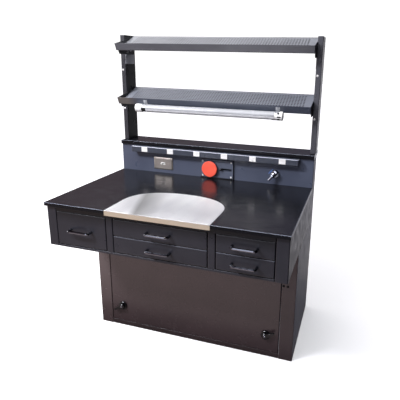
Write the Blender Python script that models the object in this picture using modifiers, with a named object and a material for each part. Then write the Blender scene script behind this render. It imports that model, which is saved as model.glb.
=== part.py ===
"""Ceramist bench: a seated laboratory bench of black painted sheet steel.

A drawer case overhangs a set-back cabinet and carries a laminate worktop with a
stainless work plate let into its front edge. A low riser at the rear holds the
services (sockets, switch, suction port, air valve) under a ledge, and two posts on
the ledge carry two tilted tray shelves with a tubular lamp clipped under the lower.

Metres, +Z up, the sitter's side is -Y. The origin is on the floor at the middle of
the bench's outline.
"""

import math

import bmesh
import bpy
from mathutils import Matrix, Vector

# Common values
GAP = 0.0003                 # clearance between pieces that bear on each other
SHEET = 0.0016               # steel sheet of the carcass
BEND = 0.0014                # inside radius of a fold in the sheet
EDGE = 0.0012                # rounding of a board's arris

# Outline of the bench
BENCH_WIDTH = 1.076          # worktop and ledge
BENCH_DEPTH = 0.795          # handle bars to back panel
BENCH_HEIGHT = 1.487         # top of the posts

# Worktop and the steel plate let into it
WORKTOP_HEIGHT = 0.758
WORKTOP_THICKNESS = 0.016
WORKTOP_NOSE = 0.012         # reach past the drawer fronts
PLATE_WIDTH = 0.464
PLATE_SHIFT = -0.007         # middle of the plate from the middle of the bench
PLATE_DEPTH = 0.312          # front edge to the middle of the curved rear edge
PLATE_STRAIGHT = 0.146       # straight part of the plate's sides
PLATE_SQUARENESS = 2.25      # exponent of the curved rear edge, 2 is an ellipse
PLATE_FACETS = 24            # along that edge
PLATE_THICKNESS = 0.0015
PLATE_PROUD = 0.0004         # plate above the worktop
PLATE_LIP = 0.022            # folded front edge

# Drawer case
CASE_HEIGHT = 0.184
CASE_INSET = 0.004           # case side inside the worktop's end
STILE_LEFT = 0.045           # end upright, seen from the front
STILE_RIGHT = 0.051
DIVIDER = 0.031              # upright between two bays
MIDDLE_BAY = 0.424
TOP_RAIL = 0.020
BOTTOM_RAIL = 0.010

# Drawers
FRONT_GAP = 0.0026           # dark line round a drawer front
FRONT_DEPTH = 0.016
DRAWER_LENGTH = 0.420
DRAWER_SHEET = 0.0012
DRAWER_PLAY = 0.002          # pan side to bay wall
DRAWER_FREEBOARD = 0.014     # pan's rim below the top of its front
RUNNER_WIDTH = 0.012
RUNNER_RISE = 0.004          # runner's underside above the foot of its opening
RUNNER_SETBACK = 0.004       # runner's end behind the drawer front
HANDLE_CENTRES = 0.100
HANDLE_BAR = 0.0055          # radius
HANDLE_REACH = 0.032         # front of the bar off the drawer front
HANDLE_BEND = 0.010

# Lower cabinet
KNEE_DEPTH = 0.274           # cabinet front behind the drawer fronts
CABINET_LEFT_INSET = 0.042   # cabinet's left side inside the case's
FLANGE = 0.066               # front flange of a cabinet side
FLANGE_RETURN = 0.020
KICK = 0.027                 # rail under the access panel, and the cabinet's floor
FOOT_LIP = 0.025             # fold that stands on the floor
PANEL_GAP = 0.0026
PANEL_DEPTH = 0.016

# Turn latches of the access panel
LATCH_IN = 0.063             # axis in from the panel's end
LATCH_UP = 0.090             # axis above the panel's foot
LATCH_ROSE = 0.0225          # radius
LATCH_ROSE_DEPTH = 0.007
LATCH_HUB = 0.015
LATCH_HUB_DEPTH = 0.013
LATCH_SHAFT = 0.006
LATCH_PLAY = 0.0005          # shaft in rose and panel
LATCH_LEVER = 0.045          # axis to the middle of the lever's tip
LATCH_LEVER_ROOT = 0.011     # radius of the lever's outline round the axis
LATCH_LEVER_TIP = 0.0045     # radius of its tip
LATCH_LEVER_DEPTH = 0.009
LATCH_LEVER_TURN = 28.0      # degrees out of level
LATCH_CAM_LAP = 0.008        # cam behind the flange's return when it is turned home
LATCH_CAM_WIDTH = 0.018
LATCH_CAM_DEPTH = 0.003
LATCH_CAM_PLAY = 0.001       # cam behind the return

# Back panel, a shallow pan from the floor to the ledge
CHASE_DEPTH = 0.040

# Riser and ledge
RISER_DEPTH = 0.143
RISER_INSET = 0.0005         # inside the ledge's end
LEDGE_RISE = 0.167           # top of the ledge above the worktop
LEDGE_THICKNESS = 0.020
LEDGE_NOSE = 0.010

# Posts
POST_WIDTH = 0.027
POST_DEPTH = 0.100
POST_SETBACK = 0.037         # behind the ledge's front edge
POST_INSET = 0.0005          # inside the ledge's end

# Tray shelves
SHELF_SHEET = 0.0015
SHELF_TILT = 24.0            # degrees, rear edge up
SHELF_BASE = 0.196           # along the slope
SHELF_LIP = 0.038
SHELF_REACH = 0.082          # fold of the lip in front of the posts
SHELF_HEM = 0.012            # fold at the rear edge
SHELF_PITCH = 0.274          # lower shelf under the upper one
SHELF_TOP_DROP = 0.0015      # rear edge below the top of the posts
BRACKET_DROP = 0.018         # end bracket below the fold of the lip
BRACKET_NOSE = 0.026         # bracket's foot behind that fold

# Lamp under the lower shelf
LAMP_RADIUS = 0.0200
LAMP_WALL = 0.0015
LAMP_INSET_LEFT = 0.116      # end of the lamp from the post's inner side
LAMP_INSET_RIGHT = 0.127
LAMP_FORWARD = 0.0195        # axis in front of the fold of the lip
LAMP_DOWN = 0.0140           # axis under that fold
CAP_LENGTH_LEFT = 0.036
CAP_LENGTH_RIGHT = 0.016
CAP_RADIUS = 0.0212
COLLAR_LENGTH = 0.024
COLLAR_RADIUS = 0.0187
CAP_PLUG = 0.006             # spigot of the collar inside the tube
CLIP_WIDTH = 0.020
CLIP_WALL = 0.002
CLIP_MOUTH = 150.0           # degrees left open under the lamp
CLIP_TAB = 0.030             # up the face of the lip

# Power strip
STRIP_INSET_LEFT = 0.081     # end of the strip inside the ledge's end
STRIP_INSET_RIGHT = 0.073
STRIP_HEIGHT = 0.033
STRIP_DEPTH = 0.038
STRIP_DROP = 0.0012          # under the ledge
SOCKET_COUNT = 6
SOCKET_PITCH = 0.1524
SOCKET_WIDTH = 0.034
SOCKET_HEIGHT = 0.026
SOCKET_RAISE = 0.0015        # middle of a socket above the middle of the strip
SOCKET_SHIFT = 0.0035        # middle of the row from the middle of the bench
SOCKET_PROUD = 0.0015
SOCKET_RIM = 0.002           # face past the opening in the strip
SOCKET_BODY = 0.022
BLADE_SLOT = (0.0022, 0.0080)
BLADE_SPACING = 0.0127
EARTH_HOLE = 0.0020          # radius
EARTH_DROP = 0.0075
CONTACT_DEPTH = 0.012

# Light switch, a single plate laid on its side
SWITCH_X = -0.2835           # from the middle of the bench
SWITCH_UP = 0.053            # above the worktop
SWITCH_PLATE = (0.1143, 0.0699)
SWITCH_RAISE = 0.005         # face of the plate off the riser
SWITCH_SLOPE = 0.0075        # sloping rim round the face
SWITCH_SHEET = 0.001
SWITCH_SLOT = (0.024, 0.0122)
SWITCH_BODY = (0.066, 0.034, 0.028)
TOGGLE_BARREL = 0.0060       # radius
TOGGLE_INSET = 0.0030        # pivot behind the front of the body
TOGGLE_LEVER = (0.0080, 0.0108)   # thickness along its swing, width across it
TOGGLE_TAPER = 0.8           # tip as a share of the root
TOGGLE_LENGTH = 0.0220       # from the pivot
TOGGLE_LEAN = 22.0           # degrees either side

# Suction port
PORT_X = 0.0318              # middle of its plate
PORT_UP = 0.052              # above the worktop
PORT_PLATE = (0.180, 0.100)
PORT_THICKNESS = 0.010
PORT_OFFSET = 0.0368         # bore left of the middle of the plate
PORT_BORE = 0.024            # radius
PORT_MOUTH = 0.036           # radius at the front of the collar
PORT_COLLAR = 0.0415         # outer radius
PORT_COLLAR_DEPTH = 0.012
PORT_CAP = 0.0425            # radius
PORT_CAP_FACE = 0.006
PORT_CAP_PLUG = 0.008        # ring of the cap inside the mouth
PORT_CAP_WALL = 0.002
PORT_CAP_PLAY = 0.0006       # ring in the mouth
WINDOW_SIDE = 0.004          # plate past the window in the riser, at its ends
WINDOW_TOP = 0.012           # the same, above and below
GATE_THICKNESS = 0.002
GATE_LAP = 0.004             # blade past the bore when shut
GATE_TAIL = 0.010            # blade past its pin
GATE_TRAVEL = 0.050
GATE_PIN = 0.004             # radius
GATE_PIN_OFFSET = 0.0257     # pin right of the middle of the plate when shut
GATE_KNOB = 0.0055
GATE_KNOB_REACH = 0.014
GUIDE_HEIGHT = 0.003
SPIGOT_WALL = 0.002
SPIGOT_LENGTH = 0.055
SPIGOT_FLANGE = 0.0025

# Air valve
VALVE_X = 0.343
VALVE_UP = 0.056
VALVE_FLANGE = (0.021, 0.006)     # radius, depth
VALVE_STEM = 0.008
VALVE_REACH = 0.024               # middle of the body off the riser
VALVE_DROP = 48.0                 # degrees from level down to the hose end, towards the left
VALVE_SWING = 17.0                # degrees the hose end is swung out from the riser
VALVE_BALL = (0.012, 0.010)       # radius and length of the ball's housing
VALVE_ENDS = 0.0092               # radius of the body's ends
VALVE_INLET = 0.018               # middle to the closed end
VALVE_OUTLET = 0.014              # middle to the hose barb
VALVE_SPINDLE = (0.0035, 0.0195)  # radius, end off the body's axis
BARB_LENGTH = 0.027
BARB_RADIUS = 0.0066
BARB_NECK = 0.85                  # neck between two ridges as a share of the radius
BARB_RIDGES = 4
WING_HUB = (0.0065, 0.006)        # radius, height
WING_LENGTH = 0.032
WING_WIDTH = 0.009
WING_DEPTH = 0.004

# Planes and places that follow from the sizes
FOLD = SHEET + BEND
BACK = BENCH_DEPTH / 2
CHASE_FRONT = BACK - CHASE_DEPTH
CARCASS_REAR = CHASE_FRONT - GAP
CASE_FRONT = -BENCH_DEPTH / 2 + HANDLE_REACH
WORKTOP_FRONT = CASE_FRONT - WORKTOP_NOSE
CABINET_FRONT = CASE_FRONT + KNEE_DEPTH
RISER_FRONT = BACK - RISER_DEPTH
LEDGE_FRONT = RISER_FRONT - LEDGE_NOSE
POST_FRONT = LEDGE_FRONT + POST_SETBACK
CASE_TOP = WORKTOP_HEIGHT - WORKTOP_THICKNESS - GAP
CASE_FOOT = CASE_TOP - CASE_HEIGHT
BAY_FOOT = CASE_FOOT + BOTTOM_RAIL
BAY_TOP = CASE_TOP - TOP_RAIL
LEDGE_HEIGHT = WORKTOP_HEIGHT + LEDGE_RISE
LEDGE_FOOT = LEDGE_HEIGHT - LEDGE_THICKNESS
HALF_WIDTH = BENCH_WIDTH / 2
CASE_END = HALF_WIDTH - CASE_INSET
CABINET_LEFT = -CASE_END + CABINET_LEFT_INSET
CABINET_RIGHT = CASE_END
RISER_END = HALF_WIDTH - RISER_INSET
POST_END = HALF_WIDTH - POST_INSET
POST_FACE = POST_END - POST_WIDTH          # inner side of a post
DIVIDER_X = MIDDLE_BAY / 2 + DIVIDER / 2
LEFT_BAY = (-CASE_END + STILE_LEFT, -MIDDLE_BAY / 2 - DIVIDER)
RIGHT_BAY = (MIDDLE_BAY / 2 + DIVIDER, CASE_END - STILE_RIGHT)
TILT = math.radians(SHELF_TILT)
UPPER_FOLD = BENCH_HEIGHT - SHELF_TOP_DROP - SHELF_BASE * math.sin(TILT)
LOWER_FOLD = UPPER_FOLD - SHELF_PITCH
SHELF_FOLD = POST_FRONT - SHELF_REACH
STRIP_Z = LEDGE_FOOT - STRIP_DROP - STRIP_HEIGHT / 2
STRIP_FRONT = RISER_FRONT - GAP - STRIP_DEPTH

FINISHES = {                 # base colour, roughness, metallic
    "black_paint": ((0.045, 0.045, 0.050, 1), 0.38, 0.0),
    "black_laminate": ((0.030, 0.030, 0.036, 1), 0.22, 0.0),
    "black_plastic": ((0.020, 0.020, 0.022, 1), 0.42, 0.0),
    "stainless": ((0.72, 0.72, 0.71, 1), 0.28, 1.0),
    "chrome": ((0.82, 0.83, 0.85, 1), 0.08, 1.0),
    "white_plastic": ((0.86, 0.86, 0.84, 1), 0.35, 0.0),
    "lamp_glass": ((0.88, 0.89, 0.90, 1), 0.25, 0.0),
    "clip_plastic": ((0.55, 0.57, 0.60, 1), 0.30, 0.0),
    "red_plastic": ((0.90, 0.11, 0.05, 1), 0.40, 0.0),
    "blue_plastic": ((0.13, 0.22, 0.45, 1), 0.30, 0.0),
}

for stale in list(bpy.data.objects):
    bpy.data.objects.remove(stale, do_unlink=True)

PARTS = bpy.data.collections.new("ceramist_bench")
CUTTERS = bpy.data.collections.new("cutters")
bpy.context.scene.collection.children.link(PARTS)
bpy.context.scene.collection.children.link(CUTTERS)


def group(name, location=(0, 0, 0)):
    """An empty that carries the pieces of one sub-assembly."""
    empty = bpy.data.objects.new(name, None)
    empty.empty_display_size = 0.05
    empty.location = location
    PARTS.objects.link(empty)
    return empty


def finish(piece, name):
    """Give a piece its own Principled material."""
    colour, roughness, metallic = FINISHES[name]
    material = bpy.data.materials.new(f"{piece.name}_{name}")
    material.use_nodes = True
    shader = material.node_tree.nodes["Principled BSDF"]
    shader.inputs["Base Color"].default_value = colour
    shader.inputs["Roughness"].default_value = roughness
    shader.inputs["Metallic"].default_value = metallic
    material.diffuse_color = colour
    piece.data.materials.clear()
    piece.data.materials.append(material)


def part(piece, finish_name, parent):
    """Link a modelled piece as a node of the bench."""
    PARTS.objects.link(piece)
    finish(piece, finish_name)
    piece.parent = parent
    piece.location -= parent.location
    return piece


def tool(piece):
    """Link a piece that only shapes another."""
    CUTTERS.objects.link(piece)
    piece.hide_render = True
    piece.display_type = "WIRE"
    return piece


def mesh_piece(name, shape, origin=(0, 0, 0)):
    """An object from a bmesh given in world coordinates, with its own origin."""
    origin = Vector(origin)
    bmesh.ops.translate(shape, verts=shape.verts, vec=-origin)
    mesh = bpy.data.meshes.new(name)
    shape.to_mesh(mesh)
    shape.free()
    piece = bpy.data.objects.new(name, mesh)
    piece.location = origin
    return piece


def cube(low, high):
    """A bmesh box between two corners."""
    low, high = Vector(low), Vector(high)
    shape = bmesh.new()
    bmesh.ops.create_cube(shape, size=1.0)
    bmesh.ops.scale(shape, verts=shape.verts, vec=high - low)
    bmesh.ops.translate(shape, verts=shape.verts, vec=(low + high) / 2)
    return shape


def box(name, low, high, rounding=0.0, origin=None):
    """A solid box, its arrises rounded if asked."""
    piece = mesh_piece(name, cube(low, high), origin or (Vector(low) + Vector(high)) / 2)
    if rounding:
        bevel(piece, rounding)
    return piece


def bevel(piece, width, segments=2):
    rounded = piece.modifiers.new("rounding", "BEVEL")
    rounded.width = width
    rounded.segments = segments
    rounded.limit_method = "ANGLE"
    rounded.angle_limit = math.radians(30)


def thicken(piece, thickness, fold):
    """Round the folds of an open surface and give it a thickness on its inner side."""
    bevel(piece, fold)
    shell = piece.modifiers.new("sheet", "SOLIDIFY")
    shell.thickness = thickness
    shell.offset = -1.0
    shell.use_even_offset = True


def draw_in(shape, side, share):
    """Scale the face of a box that looks to a side about its own middle."""
    shape.normal_update()
    face = max(shape.faces, key=lambda item: item.normal.dot(Vector(side)))
    middle = face.calc_center_median()
    for vert in face.verts:
        offset = vert.co - middle
        vert.co = middle + Vector(a * b for a, b in zip(offset, share))


def pan(name, low, high, open_side, thickness=SHEET, fold=FOLD, slope=0.0):
    """A folded pan: a box of sheet with one side left open.

    A slope draws the face opposite the open side in, all round.
    """
    shape = cube(low, high)
    shape.normal_update()
    side = Vector(open_side)
    missing = [face for face in shape.faces if face.normal.dot(side) > 0.9]
    if slope:
        span = Vector(high) - Vector(low)
        draw_in(shape, -side, [1 - 2 * slope / width for width in span])
    bmesh.ops.delete(shape, geom=missing, context="FACES_ONLY")
    piece = mesh_piece(name, shape, (Vector(low) + Vector(high)) / 2)
    thicken(piece, thickness, fold)
    return piece


def folded(name, path, axis, start, end, thickness=SHEET, fold=FOLD):
    """Sheet folded along a path of (a, b) points and run out along an axis.

    For axis Z the path is in (x, y), for axis X it is in (y, z). The sheet's
    thickness lies to the left of the path.
    """
    def place(a, b, run):
        return Vector((a, b, run)) if axis == "Z" else Vector((run, a, b))

    shape = bmesh.new()
    rail = [shape.verts.new(place(a, b, start)) for a, b in path]
    edges = [shape.edges.new(pair) for pair in zip(rail, rail[1:])]
    swept = bmesh.ops.extrude_edge_only(shape, edges=edges)
    moved = [item for item in swept["geom"] if isinstance(item, bmesh.types.BMVert)]
    bmesh.ops.translate(shape, verts=moved, vec=place(0, 0, end - start))
    shape.normal_update()
    (a0, b0), (a1, b1) = path[:2]
    outward = place(b1 - b0, a0 - a1, 0)
    if edges[0].link_faces[0].normal.dot(outward) < 0:
        bmesh.ops.reverse_faces(shape, faces=shape.faces)
    piece = mesh_piece(name, shape, place(path[0][0], path[0][1], start))
    thicken(piece, thickness, fold)
    return piece


def flat(name, outline, axis, start, end):
    """A plate with an outline of (a, b) points, between two planes of an axis.

    For axis Z the outline is in (x, y), for X in (y, z) and for Y in (x, z).
    """
    curve = bpy.data.curves.new(name, "CURVE")
    curve.dimensions = "2D"
    curve.fill_mode = "BOTH"
    curve.extrude = abs(end - start) / 2
    line = curve.splines.new("POLY")
    line.points.add(len(outline) - 1)
    for point, (a, b) in zip(line.points, outline):
        point.co = (a, b, 0, 1)
    line.use_cyclic_u = True
    sketch = bpy.data.objects.new(name + "_sketch", curve)
    middle = (start + end) / 2
    if axis == "Z":
        sketch.location = (0, 0, middle)
    elif axis == "Y":
        sketch.rotation_euler = (math.pi / 2, 0, 0)
        sketch.location = (0, middle, 0)
    else:
        sketch.rotation_euler = (math.pi / 2, 0, math.pi / 2)
        sketch.location = (middle, 0, 0)
    return solid_of(name, sketch)


def solid_of(name, sketch):
    """Turn a curve into a closed mesh object in world coordinates."""
    bpy.context.scene.collection.objects.link(sketch)
    bpy.context.view_layer.update()
    graph = bpy.context.evaluated_depsgraph_get()
    mesh = bpy.data.meshes.new_from_object(sketch.evaluated_get(graph))
    shape = bmesh.new()
    shape.from_mesh(mesh)
    bmesh.ops.transform(shape, matrix=sketch.matrix_world, verts=shape.verts)
    bmesh.ops.remove_doubles(shape, verts=shape.verts, dist=0.000001)
    bmesh.ops.recalc_face_normals(shape, faces=shape.faces)
    bpy.data.objects.remove(sketch, do_unlink=True)
    bpy.data.meshes.remove(mesh)
    corners = [vert.co for vert in shape.verts]
    centre = sum(corners, Vector()) / len(corners)
    return mesh_piece(name, shape, centre)


def turned(name, profile, origin, direction, closed=False, steps=32):
    """A turned piece: (radius, height) points from the top down the outside.

    Heights run along the direction from the origin. A closed profile is a ring.
    """
    mesh = bpy.data.meshes.new(name)
    points = [(radius, 0, height) for radius, height in profile]
    edges = [(i, i + 1) for i in range(len(points) - 1)]
    if closed:
        edges.append((len(points) - 1, 0))
    mesh.from_pydata(points, edges, [])
    piece = bpy.data.objects.new(name, mesh)
    piece.location = origin
    piece.rotation_euler = Vector(direction).to_track_quat("Z", "Y").to_euler()
    spin = piece.modifiers.new("turning", "SCREW")
    spin.steps = steps
    spin.render_steps = steps
    spin.use_merge_vertices = True
    spin.merge_threshold = 0.00001
    return piece


def shaped(piece, operation, helper):
    """Join or cut a piece with a helper shape."""
    tool(helper)
    change = piece.modifiers.new(helper.name, "BOOLEAN")
    change.operation = operation
    change.solver = "EXACT"
    change.object = helper


def joined(piece, helper):
    shaped(piece, "UNION", helper)


def cut(piece, helper):
    shaped(piece, "DIFFERENCE", helper)


def arc(centre, radius, first, last, count):
    """Points on an arc, angles in radians."""
    for i in range(count + 1):
        angle = first + (last - first) * i / count
        yield (centre[0] + radius * math.cos(angle), centre[1] + radius * math.sin(angle))


def teardrop(centre, root, tip, reach, angle, count=8):
    """Outline round a large and a small circle, the small one at an angle in radians."""
    far = (centre[0] + reach * math.cos(angle), centre[1] + reach * math.sin(angle))
    lean = math.acos((root - tip) / reach)
    yield from arc(far, tip, angle - lean, angle + lean, count)
    yield from arc(centre, root, angle + lean, angle - lean + 2 * math.pi, count)


def upright(name, left, right, foot, top, parent, runners=()):
    """A channel of the case, open at the rear, with runners for the drawers.

    Runners are given as (side, height): side -1 is the channel's left wall.
    """
    path = [(left, CARCASS_REAR), (left, CASE_FRONT), (right, CASE_FRONT), (right, CARCASS_REAR)]
    channel = folded(name, path, "Z", foot, top)
    front = CASE_FRONT + FRONT_DEPTH + RUNNER_SETBACK
    for number, (side, height) in enumerate(runners):
        wall = left if side < 0 else right
        inner, outer = wall - side * SHEET / 2, wall + side * RUNNER_WIDTH
        runner = box(
            f"{name}_runner_{number}",
            (min(inner, outer), front, height),
            (max(inner, outer), front + DRAWER_LENGTH, height + SHEET),
        )
        joined(channel, runner)
    return part(channel, "black_paint", parent)


# Lower cabinet
cabinet = group("cabinet")

side_path = [
    (CABINET_LEFT, CARCASS_REAR),
    (CABINET_LEFT, CABINET_FRONT),
    (CABINET_LEFT + FLANGE, CABINET_FRONT),
    (CABINET_LEFT + FLANGE, CABINET_FRONT + FLANGE_RETURN),
]
part(folded("cabinet_left_side", side_path, "Z", 0, CASE_FOOT - GAP), "black_paint", cabinet)
mirrored = [(CABINET_LEFT + CABINET_RIGHT - x, y) for x, y in reversed(side_path)]
part(folded("cabinet_right_side", mirrored, "Z", 0, CASE_FOOT - GAP), "black_paint", cabinet)

PANEL_LEFT = CABINET_LEFT + FLANGE + PANEL_GAP
PANEL_RIGHT = CABINET_RIGHT - FLANGE - PANEL_GAP
base_path = [
    (CARCASS_REAR - FOOT_LIP, 0),
    (CARCASS_REAR, 0),
    (CARCASS_REAR, KICK),
    (CABINET_FRONT, KICK),
    (CABINET_FRONT, 0),
    (CABINET_FRONT + FOOT_LIP, 0),
]
part(
    folded(
        "cabinet_base", base_path, "X",
        CABINET_LEFT + FLANGE + GAP, CABINET_RIGHT - FLANGE - GAP,
    ),
    "black_paint", cabinet,
)

back_panel = pan(
    "back_panel",
    (-CASE_END, CHASE_FRONT, 0), (CASE_END, BACK, LEDGE_FOOT - GAP), (0, -1, 0),
)
part(back_panel, "black_paint", cabinet)

# Access panel with its two turn latches
PANEL_FOOT = KICK + GAP
panel_group = group("access", (0, CABINET_FRONT, PANEL_FOOT))
access_panel = pan(
    "access_panel",
    (PANEL_LEFT, CABINET_FRONT, PANEL_FOOT),
    (PANEL_RIGHT, CABINET_FRONT + PANEL_DEPTH, CASE_FOOT - PANEL_GAP),
    (0, 1, 0),
)
LATCH_Z = PANEL_FOOT + LATCH_UP
CAM_FRONT = FLANGE_RETURN + LATCH_CAM_PLAY
CAM_LENGTH = LATCH_IN + PANEL_GAP + LATCH_CAM_LAP
ROSE_FRONT = GAP + LATCH_ROSE_DEPTH
TURN = math.radians(LATCH_LEVER_TURN)
for label, latch_x, lever_angle in (
    ("left", PANEL_LEFT + LATCH_IN, math.pi + TURN),
    ("right", PANEL_RIGHT - LATCH_IN, TURN),
):
    axis = Vector((latch_x, CABINET_FRONT, LATCH_Z))
    cut(access_panel, turned(
        f"latch_{label}_hole",
        [(0, PANEL_DEPTH), (LATCH_SHAFT + LATCH_PLAY, PANEL_DEPTH),
         (LATCH_SHAFT + LATCH_PLAY, -PANEL_DEPTH), (0, -PANEL_DEPTH)],
        axis, (0, -1, 0), steps=24,
    ))
    rose = turned(
        f"latch_{label}_rose",
        [(LATCH_SHAFT + LATCH_PLAY, ROSE_FRONT), (LATCH_ROSE - EDGE, ROSE_FRONT),
         (LATCH_ROSE, ROSE_FRONT - EDGE), (LATCH_ROSE, GAP), (LATCH_SHAFT + LATCH_PLAY, GAP)],
        axis, (0, -1, 0), closed=True,
    )
    part(rose, "black_plastic", panel_group)

    hub_back = ROSE_FRONT + GAP
    hub_front = hub_back + LATCH_HUB_DEPTH
    cam_back = -CAM_FRONT - LATCH_CAM_DEPTH
    handle = turned(
        f"latch_{label}_handle",
        [(0, hub_front), (LATCH_HUB - 2 * EDGE, hub_front), (LATCH_HUB, hub_front - 2 * EDGE),
         (LATCH_HUB, hub_back), (LATCH_SHAFT, hub_back), (LATCH_SHAFT, cam_back - EDGE),
         (0, cam_back - EDGE)],
        axis, (0, -1, 0),
    )
    lever_front = CABINET_FRONT - hub_front + EDGE
    outline = teardrop((latch_x, LATCH_Z), LATCH_LEVER_ROOT, LATCH_LEVER_TIP, LATCH_LEVER, lever_angle)
    lever = flat(f"latch_{label}_lever", list(outline), "Y", lever_front, lever_front + LATCH_LEVER_DEPTH)
    bevel(lever, 2 * EDGE)
    joined(handle, lever)
    cam = box(
        f"latch_{label}_cam",
        (latch_x - LATCH_CAM_WIDTH / 2, CABINET_FRONT + CAM_FRONT, LATCH_Z - LATCH_CAM_WIDTH / 2),
        (latch_x + LATCH_CAM_WIDTH / 2, CABINET_FRONT + CAM_FRONT + LATCH_CAM_DEPTH,
         LATCH_Z + CAM_LENGTH),
    )
    joined(handle, cam)
    part(handle, "black_plastic", panel_group)
part(access_panel, "black_paint", panel_group)

# Drawer case
case = group("case")
BAY_MIDDLE = (BAY_FOOT + BAY_TOP) / 2
UPPER_FOOT, LOWER_TOP = BAY_MIDDLE - FRONT_GAP / 2, BAY_MIDDLE + FRONT_GAP / 2
LOW_RUNNER = BAY_FOOT + RUNNER_RISE
HIGH_RUNNER = UPPER_FOOT + RUNNER_RISE
upright("case_left_side", -CASE_END, LEFT_BAY[0], CASE_FOOT, CASE_TOP, case,
        [(1, LOW_RUNNER)])
upright("case_right_side", RIGHT_BAY[1], CASE_END, CASE_FOOT, CASE_TOP, case,
        [(-1, LOW_RUNNER), (-1, HIGH_RUNNER)])
upright("divider_left", -DIVIDER_X - DIVIDER / 2, -DIVIDER_X + DIVIDER / 2,
        BAY_FOOT + GAP, BAY_TOP - GAP, case, [(-1, LOW_RUNNER), (1, LOW_RUNNER), (1, HIGH_RUNNER)])
upright("divider_right", DIVIDER_X - DIVIDER / 2, DIVIDER_X + DIVIDER / 2,
        BAY_FOOT + GAP, BAY_TOP - GAP, case,
        [(-1, LOW_RUNNER), (-1, HIGH_RUNNER), (1, LOW_RUNNER), (1, HIGH_RUNNER)])
for name, foot, top in (
    ("case_bottom", CASE_FOOT, BAY_FOOT),
    ("case_top", BAY_TOP, CASE_TOP),
):
    part(
        pan(name, (LEFT_BAY[0] + GAP, CASE_FRONT, foot), (RIGHT_BAY[1] - GAP, CARCASS_REAR, top),
            (0, 0, -1)),
        "black_paint", case,
    )


def drawer(label, left, right, foot, top):
    """A drawer in an opening of the case: folded front, open pan and bar handle."""
    middle_x, middle_z = (left + right) / 2, (foot + top) / 2
    carrier = group(f"drawer_{label}", (middle_x, CASE_FRONT, middle_z))
    front_foot, front_top = foot + FRONT_GAP, top - FRONT_GAP
    front = pan(
        f"drawer_{label}_front",
        (left + FRONT_GAP, CASE_FRONT, front_foot),
        (right - FRONT_GAP, CASE_FRONT + FRONT_DEPTH, front_top),
        (0, 1, 0),
    )
    part(front, "black_paint", carrier)
    tray_front = CASE_FRONT + FRONT_DEPTH + GAP
    tray = pan(
        f"drawer_{label}_pan",
        (left + DRAWER_PLAY, tray_front, foot + RUNNER_RISE + SHEET + GAP),
        (right - DRAWER_PLAY, tray_front + DRAWER_LENGTH, front_top - DRAWER_FREEBOARD),
        (0, 0, 1), DRAWER_SHEET, DRAWER_SHEET + BEND,
    )
    part(tray, "black_paint", carrier)

    foot_y = CASE_FRONT - GAP
    bar_y = CASE_FRONT - HANDLE_REACH + HANDLE_BAR
    ends = (middle_x - HANDLE_CENTRES / 2, middle_x + HANDLE_CENTRES / 2)
    centre_y = bar_y + HANDLE_BEND
    path = [(ends[0], foot_y)]
    path += arc((ends[0] + HANDLE_BEND, centre_y), HANDLE_BEND, math.pi, 1.5 * math.pi, 4)
    path += arc((ends[1] - HANDLE_BEND, centre_y), HANDLE_BEND, 1.5 * math.pi, 2 * math.pi, 4)
    path += [(ends[1], foot_y)]
    curve = bpy.data.curves.new(f"drawer_{label}_handle", "CURVE")
    curve.dimensions = "3D"
    curve.bevel_depth = HANDLE_BAR
    curve.bevel_resolution = 2
    curve.use_fill_caps = True
    line = curve.splines.new("POLY")
    line.points.add(len(path) - 1)
    for point, (x, y) in zip(line.points, path):
        point.co = (x, y, middle_z, 1)
    handle = solid_of(f"drawer_{label}_handle",
                      bpy.data.objects.new(f"drawer_{label}_handle_sketch", curve))
    part(handle, "black_plastic", carrier)


drawer("left", *LEFT_BAY, BAY_FOOT, BAY_TOP)
for label, left, right in (
    ("middle", -MIDDLE_BAY / 2, MIDDLE_BAY / 2),
    ("right", *RIGHT_BAY),
):
    drawer(f"{label}_upper", left, right, UPPER_FOOT, BAY_TOP)
    drawer(f"{label}_lower", left, right, BAY_FOOT, LOWER_TOP)

# Worktop with the steel work plate let into its front edge
top_group = group("top")
worktop = box(
    "worktop",
    (-HALF_WIDTH, WORKTOP_FRONT, WORKTOP_HEIGHT - WORKTOP_THICKNESS),
    (HALF_WIDTH, RISER_FRONT - GAP, WORKTOP_HEIGHT),
    rounding=EDGE,
)


def plate_outline(grow, front):
    """D-shaped outline of the work plate, grown by a margin, from a front line."""
    half = PLATE_WIDTH / 2 + grow
    shoulder = WORKTOP_FRONT + PLATE_STRAIGHT
    rise = PLATE_DEPTH - PLATE_STRAIGHT + grow
    points = [(PLATE_SHIFT - half, front), (PLATE_SHIFT + half, front)]
    for i in range(PLATE_FACETS + 1):
        angle = math.pi * i / PLATE_FACETS
        across, up = math.cos(angle), math.sin(angle)
        power = 2 / PLATE_SQUARENESS
        points.append((
            PLATE_SHIFT + math.copysign(half * abs(across) ** power, across),
            shoulder + rise * up ** power,
        ))
    return points


PLATE_TOP = WORKTOP_HEIGHT + PLATE_PROUD
PLATE_FOOT = PLATE_TOP - PLATE_THICKNESS
PLATE_FRONT = WORKTOP_FRONT - GAP - PLATE_THICKNESS
cut(worktop, flat(
    "plate_pocket", plate_outline(GAP, WORKTOP_FRONT - PLATE_DEPTH), "Z",
    PLATE_FOOT - GAP, WORKTOP_HEIGHT + WORKTOP_THICKNESS,
))
part(worktop, "black_laminate", top_group)

work_plate = flat("work_plate", plate_outline(0, PLATE_FRONT), "Z", PLATE_FOOT, PLATE_TOP)
joined(work_plate, box(
    "plate_lip",
    (PLATE_SHIFT - PLATE_WIDTH / 2, PLATE_FRONT, PLATE_TOP - PLATE_LIP),
    (PLATE_SHIFT + PLATE_WIDTH / 2, PLATE_FRONT + PLATE_THICKNESS, PLATE_TOP - PLATE_THICKNESS / 2),
))
part(work_plate, "stainless", top_group)

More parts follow.
